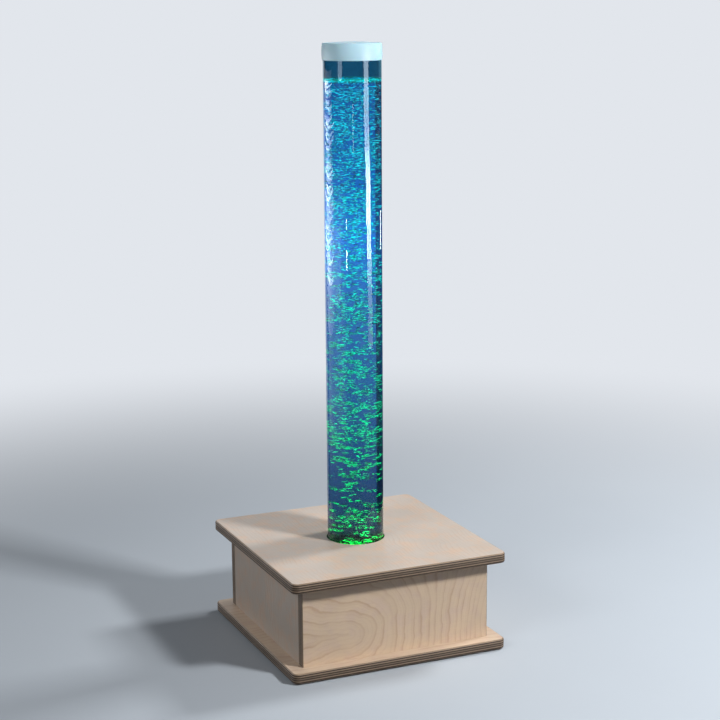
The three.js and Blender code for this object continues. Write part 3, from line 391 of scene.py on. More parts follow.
ply_edge, g, ins, outs = new_tree(
    "ply_edge",
    "ShaderNodeTree",
    [
        ("Depth", "Float"),
        ("Place", "Vector"),
        ("Long Ply", "Color"),
        ("End Ply", "Color"),
        ("Glue", "Color"),
    ],
    FINISH,
)
wander = g.noise(ins["Place"], scale=12.0)
ply = g.times(g.vary(wander, by=0.012, around=ins["Depth"]), float(PLY_COUNT))
number = g.math("FLOOR", ply)
odd = g.math("MODULO", number, 2.0)
luck = g.add("ShaderNodeTexWhiteNoise", settings={"noise_dimensions": "1D"}, W=number)
glue = g.fade(g.math("PINGPONG", ply, 0.5), 0.0, GLUE_LINE_SHARE, to_low=1.0, to_high=0.0)
x, y, z = g.split(ins["Place"])
cut_ends = g.noise(ins["Place"], scale=1400.0, detail=2.0)
laid = g.noise(g.stretched((x, 90.0), (y, 90.0), (z, 1600.0)), scale=1.0)
grain = g.blend(odd, laid, cut_ends)
stain = g.noise(ins["Place"], scale=45.0)
tone = g.rising(luck, by=0.5, start=0.72)
tone = g.vary(grain, by=0.5, around=tone)
tone = g.vary(stain, by=0.5, around=tone)
wood = g.toned(g.mix(odd, ins["Long Ply"], ins["End Ply"]), tone)
g.set(outs["Colour"], g.mix(g.times(glue, 0.65), wood, ins["Glue"]))
g.set(outs["Roughness"], g.rising(grain, by=0.2, start=0.55))
g.set(outs["Height"], g.minus(grain, g.rising(glue, by=0.8, start=g.times(odd, 0.3))))


def plywood(name, node, thick, fibre, side, figure, spacing, line_strength, waviness, pale):
    """Birch plywood: veneer on the two faces, and plies where an edge cuts through them.

    thick, fibre and side are the axes through the board, along its fibres and across them."""
    low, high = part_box(node)
    middle = (low + high) / 2
    material, nodes, sockets = new_material(name)
    place = nodes.place()
    axes = dict(zip("XYZ", nodes.split(place)))
    first = "XYZ".index(thick)
    depth = nodes.level(axes[thick], low[first], high[first])
    off_centre = nodes.math("ABSOLUTE", nodes.minus(depth, 0.5))
    face = nodes.math("GREATER_THAN", off_centre, VENEER_START_SHARE)
    along, across = (
        nodes.times(nodes.minus(axes[axis], middle["XYZ".index(axis)]), 1 / MM)
        for axis in (fibre, side)
    )
    veneer = nodes.group(
        birch_veneer,
        Figure=figure(nodes, along, across),
        Spacing=spacing,
        Line_Strength=line_strength,
        Waviness=waviness,
        Grain=nodes.vector(along, across),
        Pale=pale,
        Blush=shade(222, 197, 176),
        Line=shade(186, 143, 104),
    )
    plies = nodes.group(
        ply_edge,
        Depth=depth,
        Place=place,
        Long_Ply=shade(150, 128, 106),
        End_Ply=shade(66, 50, 37),
        Glue=shade(44, 32, 24),
    )
    nodes.set(sockets["Base Color"], nodes.mix(face, plies["Colour"], veneer["Colour"]))
    nodes.set(sockets["Roughness"], nodes.blend(face, plies["Roughness"], veneer["Roughness"]))
    height = nodes.blend(face, plies["Height"], veneer["Height"])
    nodes.set(sockets["Normal"], nodes.bump(height, strength=0.35, distance=GRAIN_DEPTH))
    sockets["Coat Weight"].default_value = 0.12
    sockets["Coat Roughness"].default_value = 0.35
    return material


def straight_figure(nodes, along, across):
    """Nearly straight growth lines that drift a little."""
    drift = nodes.noise(nodes.vector(along, across), scale=0.006, detail=2.0)
    return nodes.vary(drift, by=60.0, around=across)


def rounded_square(half, radius):
    points = []
    for quarter, (sx, sy) in enumerate(((1, 1), (-1, 1), (-1, -1), (1, -1))):
        for step in range(CORNER_STEPS + 1):
            angle = math.pi / 2 * (quarter + step / CORNER_STEPS)
            x, y = sx * (half - radius), sy * (half - radius)
            points.append((x + radius * math.cos(angle), y + radius * math.sin(angle)))
    return points


def circle(radius, sides):
    turns = [2 * math.pi * i / sides for i in range(sides)]
    return [(radius * math.cos(t), radius * math.sin(t)) for t in turns]


def ring_of(bm, outline, z):
    return [bm.verts.new((x, y, z)) for x, y in outline]


def bridge(bm, lower, upper):
    for i in range(len(lower)):
        j = (i + 1) % len(lower)
        bm.faces.new((lower[i], lower[j], upper[j], upper[i]))


def fill_between(bm, *loops):
    """Flat faces inside the first loop and outside the others."""
    edges = []
    for loop in loops:
        edges += [bm.edges.get(pair) for pair in zip(loop, loop[1:] + loop[:1])]
    bmesh.ops.triangle_fill(bm, use_beauty=True, use_dissolve=False, edges=edges)


def mesh_of(bm, name):
    bmesh.ops.recalc_face_normals(bm, faces=bm.faces)
    mesh = bpy.data.meshes.new(name)
    bm.to_mesh(mesh)
    bm.free()
    return mesh


def eased_board(node, hole_radius):
    """A square board with rounded corners and edges, and a round hole if it has one."""
    low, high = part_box(node)
    half = high.x
    turns = [math.pi / 2 * step / EASE_STEPS for step in range(EASE_STEPS + 1)]
    rises = [(BOARD_EASE * (1 - math.sin(t)), BOARD_EASE * (1 - math.cos(t))) for t in turns]
    rises.insert(0, (BOARD_EASE + FLAT_RIM, 0.0))
    levels = [(inset, low.z + rise) for inset, rise in rises]
    levels += [(inset, high.z - rise) for inset, rise in reversed(rises)]
    bm = bmesh.new()
    rings = []
    for inset, z in levels:
        rings.append(ring_of(bm, rounded_square(half - inset, BOARD_CORNER - inset), z))
    for lower, upper in zip(rings, rings[1:]):
        bridge(bm, lower, upper)
    bottom, top = [rings[0]], [rings[-1]]
    if hole_radius:
        flares = (
            (HOLE_BEVEL, high.z),
            (0.0, high.z - HOLE_BEVEL),
            (0.0, low.z + HOLE_BEVEL),
            (HOLE_BEVEL, low.z),
        )
        walls = [ring_of(bm, circle(hole_radius + flare, HOLE_SIDES), z) for flare, z in flares]
        for upper, lower in zip(walls, walls[1:]):
            bridge(bm, upper, lower)
        top.append(walls[0])
        bottom.append(walls[-1])
    fill_between(bm, *bottom)
    fill_between(bm, *top)
    return mesh_of(bm, node)


for board, hole, fibre, side, spacing, strength, pale in (
    ("base_board", 0.0, "X", "Y", 15.0, 0.4, shade(226, 204, 180)),
    ("lid_board", LID_HOLE_RADIUS, "Y", "X", 7.5, 0.2, shade(212, 199, 187)),
):
    birch = plywood(
        board + "_birch", board, "Z", fibre, side, straight_figure, spacing, strength, 10.0, pale
    )
    eased = eased_board(board, hole)
    add_piece(board + "_eased", eased, birch, "plinth", (board,))

# Panels: four pieces of the same plywood make the box. The front and the back cover the ends
# of the other two. The front's veneer has a wide cathedral figure, the sides a fine grain.
ARCH_END = (-95.0, -24.0)
ARCH_WIDTH, ARCH_OPENING = 0.6, 0.0032
LEVEL_DRIFT = 0.2
FAN_START, FAN_END = 30.0, 175.0
FAN_CORNER, FAN_BEND = -45.0, 0.006


def front_figure(nodes, along, across):
    """Lines that run level from the left, close in arches, and fan out to the right."""
    past = nodes.math("MAXIMUM", nodes.minus(along, ARCH_END[0]), 0.0)
    opening = nodes.times(nodes.times(past, past), ARCH_OPENING)
    length = nodes.plus(nodes.times(past, ARCH_WIDTH), opening)
    arches = nodes.reach(length, nodes.minus(across, ARCH_END[1]))
    before = nodes.math("MINIMUM", nodes.minus(along, ARCH_END[0]), 0.0)
    arches = nodes.rising(before, by=LEVEL_DRIFT, start=arches)
    lift = nodes.minus(across, FAN_CORNER)
    bend = nodes.fade(along, FAN_START, FAN_END, to_high=FAN_BEND)
    return nodes.minus(arches, nodes.times(nodes.times(lift, lift), bend))


def finish_nodes(material, *names):
    """Gives solids that keep their own shape their finish."""
    for name in names:
        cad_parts[name].data.materials.clear()
        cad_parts[name].data.materials.append(material)


for panel, thick, fibre, side, figure, spacing, strength, waviness, pale in (
    ("front_panel", "Y", "X", "Z", front_figure, 22.0, 0.44, 28.0, shade(226, 202, 174)),
    ("back_panel", "Y", "X", "Z", straight_figure, 17.0, 0.4, 20.0, shade(226, 202, 174)),
    ("left_panel", "X", "Z", "Y", straight_figure, 7.0, 0.35, 10.0, shade(214, 200, 186)),
    ("right_panel", "X", "Z", "Y", straight_figure, 7.0, 0.35, 10.0, shade(214, 200, 186)),
):
    birch = plywood(
        panel + "_birch", panel, thick, fibre, side, figure, spacing, strength, waviness, pale
    )
    finish_nodes(birch, panel)

# Corner battens: planed softwood posts, glued into the inside corners to tie the panels.
# Their resin streaks run upright.
softwood, nodes, sockets = new_material("softwood")
x, y, z = nodes.split(nodes.place())
streaks = nodes.stretched((x, 300.0), (y, 300.0), (z, 9.0))
streaks = nodes.noise(streaks, scale=1.0, detail=4.0)
nodes.set(sockets["Base Color"], nodes.mix(streaks, shade(226, 186, 134), shade(180, 128, 78)))
nodes.set(sockets["Roughness"], nodes.rising(streaks, by=0.2, start=0.55))
nodes.set(sockets["Normal"], nodes.bump(streaks, strength=0.4, distance=0.1 * MM))
finish_nodes(softwood, *[f"corner_batten_{number}" for number in range(1, 5)])

# Lights: a horseshoe circuit board with a ring of lamps, on an aluminium plate under the
# tube. They light the water through the clear flange.
solder_mask = moulded("solder_mask", shade(20, 92, 52), 0.4, clouding=0.35, grain_scale=700.0)
mill_aluminium = moulded(
    "mill_aluminium", shade(206, 208, 212), 0.36, grain_scale=900.0, Metallic=1.0
)
finish_nodes(solder_mask, "light_board")
finish_nodes(mill_aluminium, "light_heat_sink")

# Flange: a clear disc, solvent-welded under the tube, with a spigot inside its bore. Screws
# hold it on three zinc plated pillars that are driven into the base board.
cut_acrylic, nodes, sockets = new_material("cut_acrylic")
haze = nodes.noise(nodes.place(), scale=120.0, detail=4.0)
nodes.set(sockets["Base Color"], nodes.mix(haze, shade(206, 232, 240), shade(228, 244, 250)))
nodes.set(sockets["Roughness"], nodes.rising(haze, by=0.2, start=0.08))
sockets["Transmission Weight"].default_value = 0.9
ACRYLIC_IOR = 1.49
sockets["IOR"].default_value = ACRYLIC_IOR
finish_nodes(cut_acrylic, "tube_flange")
zinc_plate = moulded(
    "zinc_plate", shade(186, 190, 196), 0.32, clouding=0.3, grain_scale=600.0, Metallic=1.0
)
for number in range(1, 4):
    finish_nodes(zinc_plate, f"flange_pillar_{number}", f"flange_screw_{number}")

# Nozzle, strainer, elbows and hoses: moulded nylon fittings go through the flange, and soft
# silicone hoses join them to the pump, the check valve and the tap.
natural_nylon = moulded("natural_nylon", shade(228, 224, 210), 0.45, grain_scale=1100.0)
finish_nodes(natural_nylon, "air_nozzle", "nozzle_nut", "air_elbow", "check_valve")
finish_nodes(natural_nylon, "drain_strainer", "drain_nut", "drain_elbow")
silicone = moulded(
    "silicone", shade(220, 232, 234), 0.28, grain_scale=800.0, Transmission_Weight=0.5, IOR=1.41
)
finish_nodes(silicone, "pump_air_hose", "tube_air_hose", "drain_hose")

# Air pump: a moulded tray and cover hold a laminated core and its coil. The coil shakes a
# magnet on a sprung arm, and the arm works a rubber diaphragm over the valve block.
pump_plastic = moulded("pump_plastic", shade(40, 58, 84), 0.45, grain_scale=1300.0, depth=0.05)
magnet_grey = moulded(
    "magnet_grey", shade(62, 63, 66), 0.5, clouding=0.4, grain_scale=900.0, Metallic=0.4
)
diaphragm_rubber = moulded("diaphragm_rubber", shade(30, 30, 31), 0.7, grain_scale=1800.0)
WIRE_PITCH = 0.45 * MM
copper_winding, nodes, sockets = new_material("copper_winding")
wire_turns_and_crease_shade = nodes.math("SINE", nodes.times(nodes.split(nodes.place())[2], 2 * math.pi / WIRE_PITCH))
wire_turns_and_crease_shade = nodes.rising(wire_turns_and_crease_shade, by=0.5, start=0.5)
# The copper goes darker between the turns: painted shade in the creases between them.
nodes.set(sockets["Base Color"], nodes.mix(wire_turns_and_crease_shade, shade(118, 54, 22), shade(204, 118, 62)))
nodes.set(sockets["Roughness"], nodes.rising(wire_turns_and_crease_shade, by=-0.15, start=0.42))
nodes.set(sockets["Normal"], nodes.bump(wire_turns_and_crease_shade, strength=0.8, distance=0.2 * MM))
sockets["Metallic"].default_value = 1.0
finish_nodes(pump_plastic, "pump_tray", "pump_cover")
finish_nodes(zinc_plate, "pump_core", "pump_pivot_pin", "pump_arm")
finish_nodes(copper_winding, "pump_coil")
finish_nodes(magnet_grey, "pump_magnet")
finish_nodes(natural_nylon, "pump_valve_block")
diaphragm = softened("pump_diaphragm", diaphragm_rubber, None, radius=0.2 * MM)
rim_low, boss_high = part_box("pump_diaphragm")
middle = (rim_low + boss_high) / 2
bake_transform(diaphragm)

# Control board and leads: the board that drives the lamps and the pump sits on a nylon
# carrier, and its leads run in smooth black jackets along the base board.
lead_jacket = moulded("lead_jacket", shade(40, 41, 44), 0.5, grain_scale=1600.0)
finish_nodes(natural_nylon, "board_carrier")
finish_nodes(solder_mask, "control_board")
finish_nodes(lead_jacket, "socket_lead", "switch_lead", "light_lead", "pump_lead")

# Back fittings: the socket, the rocker switch and the drain tap come through the back panel.
# All are moulded in black plastic, with a fine grain but for the smooth rocker.
fitting_plastic = moulded("fitting_plastic", shade(38, 39, 42), 0.42, depth=0.06)
rocker_plastic = moulded("rocker_plastic", shade(28, 28, 30), 0.3, depth=0.02)
for node, body, radius, finish in (
    ("drain_tap_body", "plinth", 0.3, fitting_plastic),
    ("drain_spout", "plinth", 0.25, fitting_plastic),
    ("drain_lever", "drain_lever", 0.5, fitting_plastic),
    ("power_socket", "plinth", 0.3, fitting_plastic),
    ("switch_frame", "plinth", 0.2, fitting_plastic),
    ("switch_rocker", "switch_rocker", 0.3, rocker_plastic),
):
    softened(node, finish, body, radius * MM)


# Tube: one metre of clear cast acrylic, 100 mm across, with polished ends. A soft ribbed
# ring centres it in the lid and shows as a thin black line at its foot.
def turned(name, profile, sides):
    """A solid turned about the upright axis from points of radius and height."""
    bm = bmesh.new()
    rings = []
    for radius, z in profile:
        rings.append(ring_of(bm, circle(radius, sides) if radius else [(0, 0)], z))
    for lower, upper in zip(rings, rings[1:] + rings[:1]):
        for i in range(sides):
            j = (i + 1) % sides
            low_pair = (lower[i % len(lower)], lower[j % len(lower)])
            high_pair = (upper[j % len(upper)], upper[i % len(upper)])
            corners = list(dict.fromkeys(low_pair + high_pair))
            if len(corners) > 2:
                bm.faces.new(corners)
    return mesh_of(bm, name)


TUBE_SIDES = 192
TUBE_WALL = 3 * MM
POLISHED_EDGE = 0.4 * MM
AIR_SHADE_LOW, AIR_SHADE_HIGH = 4 * MM, 2 * MM
tube_low, tube_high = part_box("acrylic_tube")
tube_radius = tube_high.x
bore_radius = tube_radius - TUBE_WALL
water_low, water_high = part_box("water_column")
lid_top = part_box("lid_board")[1].z
tube_profile = [
    (bore_radius, tube_low.z + POLISHED_EDGE),
    (bore_radius + POLISHED_EDGE, tube_low.z),
    (tube_radius - POLISHED_EDGE, tube_low.z),
    (tube_radius, tube_low.z + POLISHED_EDGE),
    (tube_radius, tube_high.z - POLISHED_EDGE),
    (tube_radius - POLISHED_EDGE, tube_high.z),
    (bore_radius + POLISHED_EDGE, tube_high.z),
    (bore_radius, tube_high.z - POLISHED_EDGE),
]
clear_acrylic, nodes, sockets = new_material("clear_acrylic")
z = nodes.split(nodes.place())[2]
# Above the water line the clear acrylic turns dark teal: painted shade and blue light in the air
# space under the cap.
painted_air_shade = nodes.fade(z, water_high.z - AIR_SHADE_LOW, water_high.z + AIR_SHADE_HIGH)
nodes.set(sockets["Base Color"], nodes.mix(painted_air_shade, shade(244, 252, 255), shade(84, 146, 172)))
haze = nodes.noise(nodes.place(), scale=60.0)
nodes.set(sockets["Roughness"], nodes.fade(haze, 0.45, 0.8, to_high=0.03))
sockets["Transmission Weight"].default_value = 1.0
sockets["IOR"].default_value = ACRYLIC_IOR
sockets["Specular Tint"].default_value = shade(196, 208, 222)
tube_mesh = turned("acrylic_tube", tube_profile, TUBE_SIDES)
add_piece(
    "acrylic_tube_polished", tube_mesh, clear_acrylic, "plinth", ("acrylic_tube",)
)
ring_rubber = moulded("ring_rubber", shade(22, 22, 23), 0.7, grain_scale=2000.0, depth=0.05)
softened("tube_grommet", ring_rubber, "plinth", radius=0.2 * MM)

# Water: it fills the tube to about 30 mm below the cap and wets its wall. The lamps' light in it
# is painted by height into its tint and a faint glow: green right over the lamps, slate at the
# foot, a clearer, deeper blue towards the top and cyan at the surface.
WATER_SIDES = 160
WET_BORE = bore_radius + 0.15 * MM
FITTING_RECESS = (25 * MM, 12.5 * MM)
FOOT_CHAMFER = 1 * MM
MENISCUS, MENISCUS_REACH = 1.6 * MM, 2.2 * MM
SURFACE_RINGS = 14
SURFACE_DEPTH = 3 * MM
STILL_RIM = 1.5 * MM
SWELL, SWELL_SCALE, SWELL_PLACE = 0.9 * MM, 60, 3.7
water_profile = [
    (FITTING_RECESS[0], water_low.z),
    (water_high.x, water_low.z),
    (WET_BORE, water_low.z + FOOT_CHAMFER),
    (WET_BORE, water_high.z),
]
for step in range(1, SURFACE_RINGS + 1):
    radius = WET_BORE * (1 - step / SURFACE_RINGS)
    climb = math.exp(-(WET_BORE - radius) / MENISCUS_REACH)
    water_profile.append((radius, water_high.z - MENISCUS * (1 - climb)))
recess_top = water_low.z + FITTING_RECESS[1]
water_profile += [(0.0, recess_top), (FITTING_RECESS[0], recess_top)]
water_mesh = turned("water", water_profile, WATER_SIDES)
for corner in water_mesh.vertices:
    x, y, z = corner.co
    if z > water_high.z - SURFACE_DEPTH and corner.co.xy.length < WET_BORE - STILL_RIM:
        swell = noise.noise(Vector((x * SWELL_SCALE, y * SWELL_SCALE, SWELL_PLACE)))
        corner.co.z += swell * SWELL
lit_water, nodes, sockets = new_material("lit_water")
level = nodes.level(nodes.split(nodes.place())[2], lid_top, water_high.z)
# Painted lamp light: the tint and the glow both follow this ramp by height, as the water itself is
# clear.
painted_lamp_light = nodes.ramp(
    level,
    (0.0, shade(4, 92, 60)),
    (0.015, shade(26, 64, 92)),
    (0.15, shade(36, 74, 122)),
    (0.335, shade(46, 100, 156)),
    (0.52, shade(54, 114, 180)),
    (0.667, shade(44, 133, 226)),
    (0.766, shade(20, 111, 194)),
    (0.99, shade(7, 82, 158)),
    (1.0, shade(10, 210, 170)),
)
nodes.set(sockets["Base Color"], painted_lamp_light)
# Painted glow: the water gives off its own lamp-lit colour, faintly, though it is no lamp.
nodes.set(sockets["Emission Color"], painted_lamp_light)
sockets["Emission Strength"].default_value = 0.1
sockets["Transmission Weight"].default_value = 1.0
sockets["Specular IOR Level"].default_value = 0.05
sockets["Roughness"].default_value = 0.0
sockets["IOR"].default_value = 1.33
add_piece("water_lit", water_mesh, lit_water, "plinth", ("water_column",), crease=50)

# Bubbles: air from the nozzle rises in ragged swarms of flat, wobbling bubbles. They are large
# over the lamps, small near the top, and burst in a thin foam. Their glow is painted light: green
# over the lamps and cyan near the top.
MANY_SMALL = 1.6
swarm_tree, n, ins, outs = new_tree(
    "bubble_swarms",
    "GeometryNodeTree",
    [
        ("Geometry", "Geometry"),
        ("Bubbles", "Int"),
        ("Swarm Size", "Int"),
        ("Radius", "Float"),
        ("Low", "Float"),
        ("High", "Float"),
        ("Spread", "Float"),
        ("Layer", "Float"),
        ("Low Size", "Float"),
        ("High Size", "Float"),
        ("Seed", "Int"),
        ("Material", "Material"),
    ],
    [("Geometry", "Geometry")],
)
swarm_tree.is_modifier = True
index = n.add("GeometryNodeInputIndex")
swarm = n.math("FLOOR", n.math("DIVIDE", index, ins["Swarm Size"]))


def chance(key, low, high, draw):
    """A random number for each bubble, or one that a whole swarm shares. Each has its draw."""
    seed = n.plus(ins["Seed"], float(draw))
    as_float = {"data_type": "FLOAT"}
    return n.add("FunctionNodeRandomValue", 1, as_float, i2=low, i3=high, ID=key, Seed=seed)


def added(a, b):
    return n.add("ShaderNodeVectorMath", 0, {"operation": "ADD"}, i0=a, i1=b)


turn = chance(swarm, 0.0, 2 * math.pi, draw=1)
away = n.times(n.math("SQRT", chance(swarm, 0.0, 1.0, draw=2)), ins["Radius"])
span = n.minus(ins["High"], ins["Low"])
rise = n.rising(chance(swarm, 0.0, 1.0, draw=3), by=span, start=ins["Low"])
middle_x = n.times(away, n.math("COSINE", turn))
middle = n.vector(middle_x, n.times(away, n.math("SINE", turn)), rise)
width = n.times(chance(swarm, 0.3, 1.0, draw=13), ins["Spread"])
side_x = n.times(chance(index, -1.0, 1.0, draw=4), width)
side_y = n.times(chance(index, -1.0, 1.0, draw=5), width)
tilt = n.times(n.plus(side_x, side_y), chance(swarm, -0.2, 0.2, draw=9))
lift = n.plus(tilt, n.times(chance(index, -1.0, 1.0, draw=6), ins["Layer"]))
spot = added(middle, n.vector(side_x, side_y, lift))
spots = n.add("GeometryNodePoints", Count=ins["Bubbles"], Position=spot)
x, y, z = n.split(n.add("GeometryNodeInputPosition"))
lost = n.plus(n.math("LESS_THAN", z, ins["Low"]), n.math("GREATER_THAN", z, ins["High"]))
lost = n.plus(lost, n.math("GREATER_THAN", n.reach(x, y), ins["Radius"]))
kept = n.add("GeometryNodeDeleteGeometry", Geometry=spots, Selection=lost)
kinds = swarm_tree.nodes.new("GeometryNodeGeometryToInstance")
for number, (dents, length) in enumerate(((1.2, 1.8), (1.6, 2.6), (0.9, 1.2))):
    ball = n.add("GeometryNodeMeshUVSphere", Segments=6, Rings=4, Radius=1.0)
    shifted = added(n.add("GeometryNodeInputPosition"), (7.0 * number, 3.0, 1.0))
    pull = n.times(n.minus(n.noise(shifted, scale=1.1), 0.5), dents)
    outward = n.add("GeometryNodeInputNormal")
    push = n.add("ShaderNodeVectorMath", 0, {"operation": "SCALE"}, i0=outward, Scale=pull)
    dented = n.add("GeometryNodeSetPosition", Geometry=ball, Offset=push)
    stretched = n.add("GeometryNodeTransform", Geometry=dented, Scale=(length, 1.0, 1.0))
    swarm_tree.links.new(stretched, kinds.inputs[0])
share = n.math("DIVIDE", n.minus(z, ins["Low"]), span)
size = n.blend(share, ins["Low Size"], ins["High Size"])
size = n.times(size, n.math("POWER", chance(index, 0.4, 1.25, draw=7), MANY_SMALL))
flat = n.times(size, chance(index, 0.18, 0.36, draw=8))
rock, roll = (chance(index, -0.3, 0.3, draw) for draw in (10, 11))
spin = n.vector(rock, roll, chance(index, 0.0, 6.28, draw=12))
as_whole = {"data_type": "INT"}
placed = n.add(
    "GeometryNodeInstanceOnPoints",
    Points=kept,
    Instance=kinds.outputs[0],
    Pick_Instance=True,
    Instance_Index=n.add("FunctionNodeRandomValue", 2, as_whole, i4=0, i5=2, ID=index),
    Rotation=spin,
    Scale=n.vector(size, size, flat),
)
on_bubbles = {"data_type": "FLOAT", "domain": "INSTANCE"}
gleam = chance(index, 0.0, 1.0, draw=14)
toned = n.add(
    "GeometryNodeStoreNamedAttribute", 0, on_bubbles, Geometry=placed, Name="gleam", Value=gleam
)
# The normal's height, kept so the bubble finish can paint a lit top and a shaded underside.
upward = n.split(n.add("GeometryNodeInputNormal"))[2]
real = n.add("GeometryNodeRealizeInstances", Geometry=toned)
on_points = {"data_type": "FLOAT", "domain": "POINT"}
marked = n.add(
    "GeometryNodeStoreNamedAttribute", 0, on_points, Geometry=real, Name="upward", Value=upward
)
n.set(outs[0], n.add("GeometryNodeSetMaterial", Geometry=marked, Material=ins["Material"]))


def grown(name, tree, base=None, **values):
    """The plain mesh that a tree makes, with its inputs given by name."""

    def add_tree(carrier):
        modifier = carrier.modifiers.new(name, "NODES")
        modifier.node_group = tree
        for item in tree.interface.items_tree:
            key = item.name.replace(" ", "_")
            if item.in_out == "INPUT" and key in values:
                modifier[item.identifier] = values[key]

    return finished_mesh(base or bpy.data.meshes.new(name), add_tree)


bubble_air, nodes, sockets = new_material("bubble_air")
level = nodes.level(nodes.split(nodes.place())[2], lid_top, water_high.z)
painted_bubble_glow = nodes.ramp(
    level,
    (0.0, shade(0, 255, 92)),
    (0.14, shade(0, 252, 104)),
    (0.36, shade(0, 216, 118)),
    (0.6, shade(0, 196, 136)),
    (0.82, shade(14, 204, 158)),
    (0.98, shade(20, 210, 170)),
    (0.99, shade(0, 158, 172)),
)
# Painted light and shade: each bubble's underside is darkened and its top kept bright, the glow
# varies at random from bubble to bubble, and it is brighter near the lamps.
facing = nodes.add("ShaderNodeAttribute", 2, {"attribute_name": "upward"})
painted_bubble_glow = nodes.toned(painted_bubble_glow, nodes.fade(facing, -0.35, 0.25, to_low=0.1))
gleam = nodes.add("ShaderNodeAttribute", 2, {"attribute_name": "gleam"})
brightness = nodes.fade(gleam, 0.16, 0.95, to_low=0.03, to_high=1.2)
painted_bubble_glow = nodes.toned(painted_bubble_glow, brightness)
near_lamps = nodes.fade(level, 0.0, 0.08, to_low=2.2, to_high=1.05)
painted_bubble_glow = nodes.toned(painted_bubble_glow, near_lamps)
# The bubbles glow though they are air: painted light, with a dim copy of it as their colour.
nodes.set(sockets["Base Color"], nodes.toned(painted_bubble_glow, 0.4))
nodes.set(sockets["Emission Color"], painted_bubble_glow)
sockets["Emission Strength"].default_value = 4.4
sockets["Roughness"].default_value = 0.25
bubble_air.cycles.emission_sampling = "NONE"
for name, count, group, low, high, radius, spread, layer, low_size, high_size, seed in (
    ("bubbles_foot", 2900, 18, 0.150, 0.345, 42.5, 9.0, 2.2, 1.2, 1.15, 11),
    ("bubbles_low", 4800, 13, 0.340, 0.520, 42.5, 9.0, 2.6, 1.15, 1.1, 17),
    ("bubbles_middle", 3900, 14, 0.515, 0.690, 43.0, 9.0, 2.8, 1.25, 1.2, 23),
    ("bubbles_high", 4100, 10, 0.685, 0.850, 44.0, 10.0, 3.4, 1.25, 1.25, 37),
    ("bubbles_top", 4600, 6, 0.845, 0.982, 44.5, 10.0, 4.4, 1.25, 1.2, 41),
    ("surface_foam", 2200, 1, 0.9835, 0.9890, 44.5, 0.0, 2.0, 1.6, 1.6, 53),
):
    mesh = grown(
        name,
        swarm_tree,
        Bubbles=count,
        Swarm_Size=group,
        Radius=radius * MM,
        Low=low,
        High=high,
        Spread=spread * MM,
        Layer=layer * MM,
        Low_Size=low_size * MM,
        High_Size=high_size * MM,
        Seed=seed,
        Material=bubble_air,
    )
    add_piece(name, mesh, None, "plinth", ("bubble_swarms",), crease=60)

# Cap: a white moulded ring slips over the tube's end, and a crowned disc is let into its
# top. Twelve vents through the disc let out the air that the pump blows in.
CAP_SIDES = 160
CAP_ROUND, ROUND_STEPS = 1.6 * MM, 8
CAP_CHAMFER = 0.6 * MM
CAP_BARREL = 0.9 * MM
BARREL_STEPS = 10
PLUG_DEPTH = 6 * MM
PLUG_WALL = 2.7 * MM
LEDGE_WIDTH, LEDGE_HEIGHT = 3 * MM, 1 * MM
VENT_COUNT = 12
VENT_RADIUS, VENT_SIDES = 2.2 * MM, 20
VENT_CIRCLE_SHARE = 0.8
DRILL_LENGTH = 0.05
CROWN_STEPS = 12
cap_low, cap_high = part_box("cap_ring")
disc_low, disc_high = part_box("cap_vent_disc")
cap_radius = cap_high.x
disc_radius = disc_high.x + GAP
cap_under = tube_high.z + GAP
skirt_radius = tube_radius + GAP
plug_radius = bore_radius - GAP
# The white is given a pale cyan cast: painted light from the lit water below it.
cap_white = moulded(
    "cap_white",
    shade(196, 234, 251),
    0.42,
    clouding=0.06,
    grain_scale=900.0,
    depth=0.02,
    Subsurface_Weight=0.15,
    Subsurface_Scale=4 * MM,
)
cap_profile = [
    (skirt_radius, cap_low.z + GAP),
    (skirt_radius + GAP, cap_low.z),
    (cap_radius - CAP_BARREL - CAP_CHAMFER, cap_low.z),
]
for step in range(BARREL_STEPS + 1):
    share = step / BARREL_STEPS
    bulge = cap_radius - CAP_BARREL * (2 * share - 1) ** 2
    height = cap_low.z + CAP_CHAMFER + (cap_high.z - CAP_ROUND - cap_low.z - CAP_CHAMFER) * share
    cap_profile.append((bulge, height))
for step in range(1, ROUND_STEPS + 1):
    turn = math.pi / 2 * step / ROUND_STEPS
    inward = CAP_BARREL + CAP_ROUND * (1 - math.cos(turn))
    cap_profile.append((cap_radius - inward, cap_high.z - CAP_ROUND * (1 - math.sin(turn))))
cap_profile += [
    (disc_radius + GAP, cap_high.z),
    (disc_radius, cap_high.z - GAP),
    (disc_radius, cap_under + LEDGE_HEIGHT),
    (disc_radius - LEDGE_WIDTH, cap_under + LEDGE_HEIGHT),
    (plug_radius - PLUG_WALL, cap_under),
    (plug_radius - PLUG_WALL, cap_under - PLUG_DEPTH),
    (plug_radius, cap_under - PLUG_DEPTH),
    (plug_radius, cap_under),
    (skirt_radius, cap_under),
]
cap_mesh = turned("cap_ring", cap_profile, CAP_SIDES)
add_piece("cap_ring_moulded", cap_mesh, cap_white, "cap", ("cap_ring",))

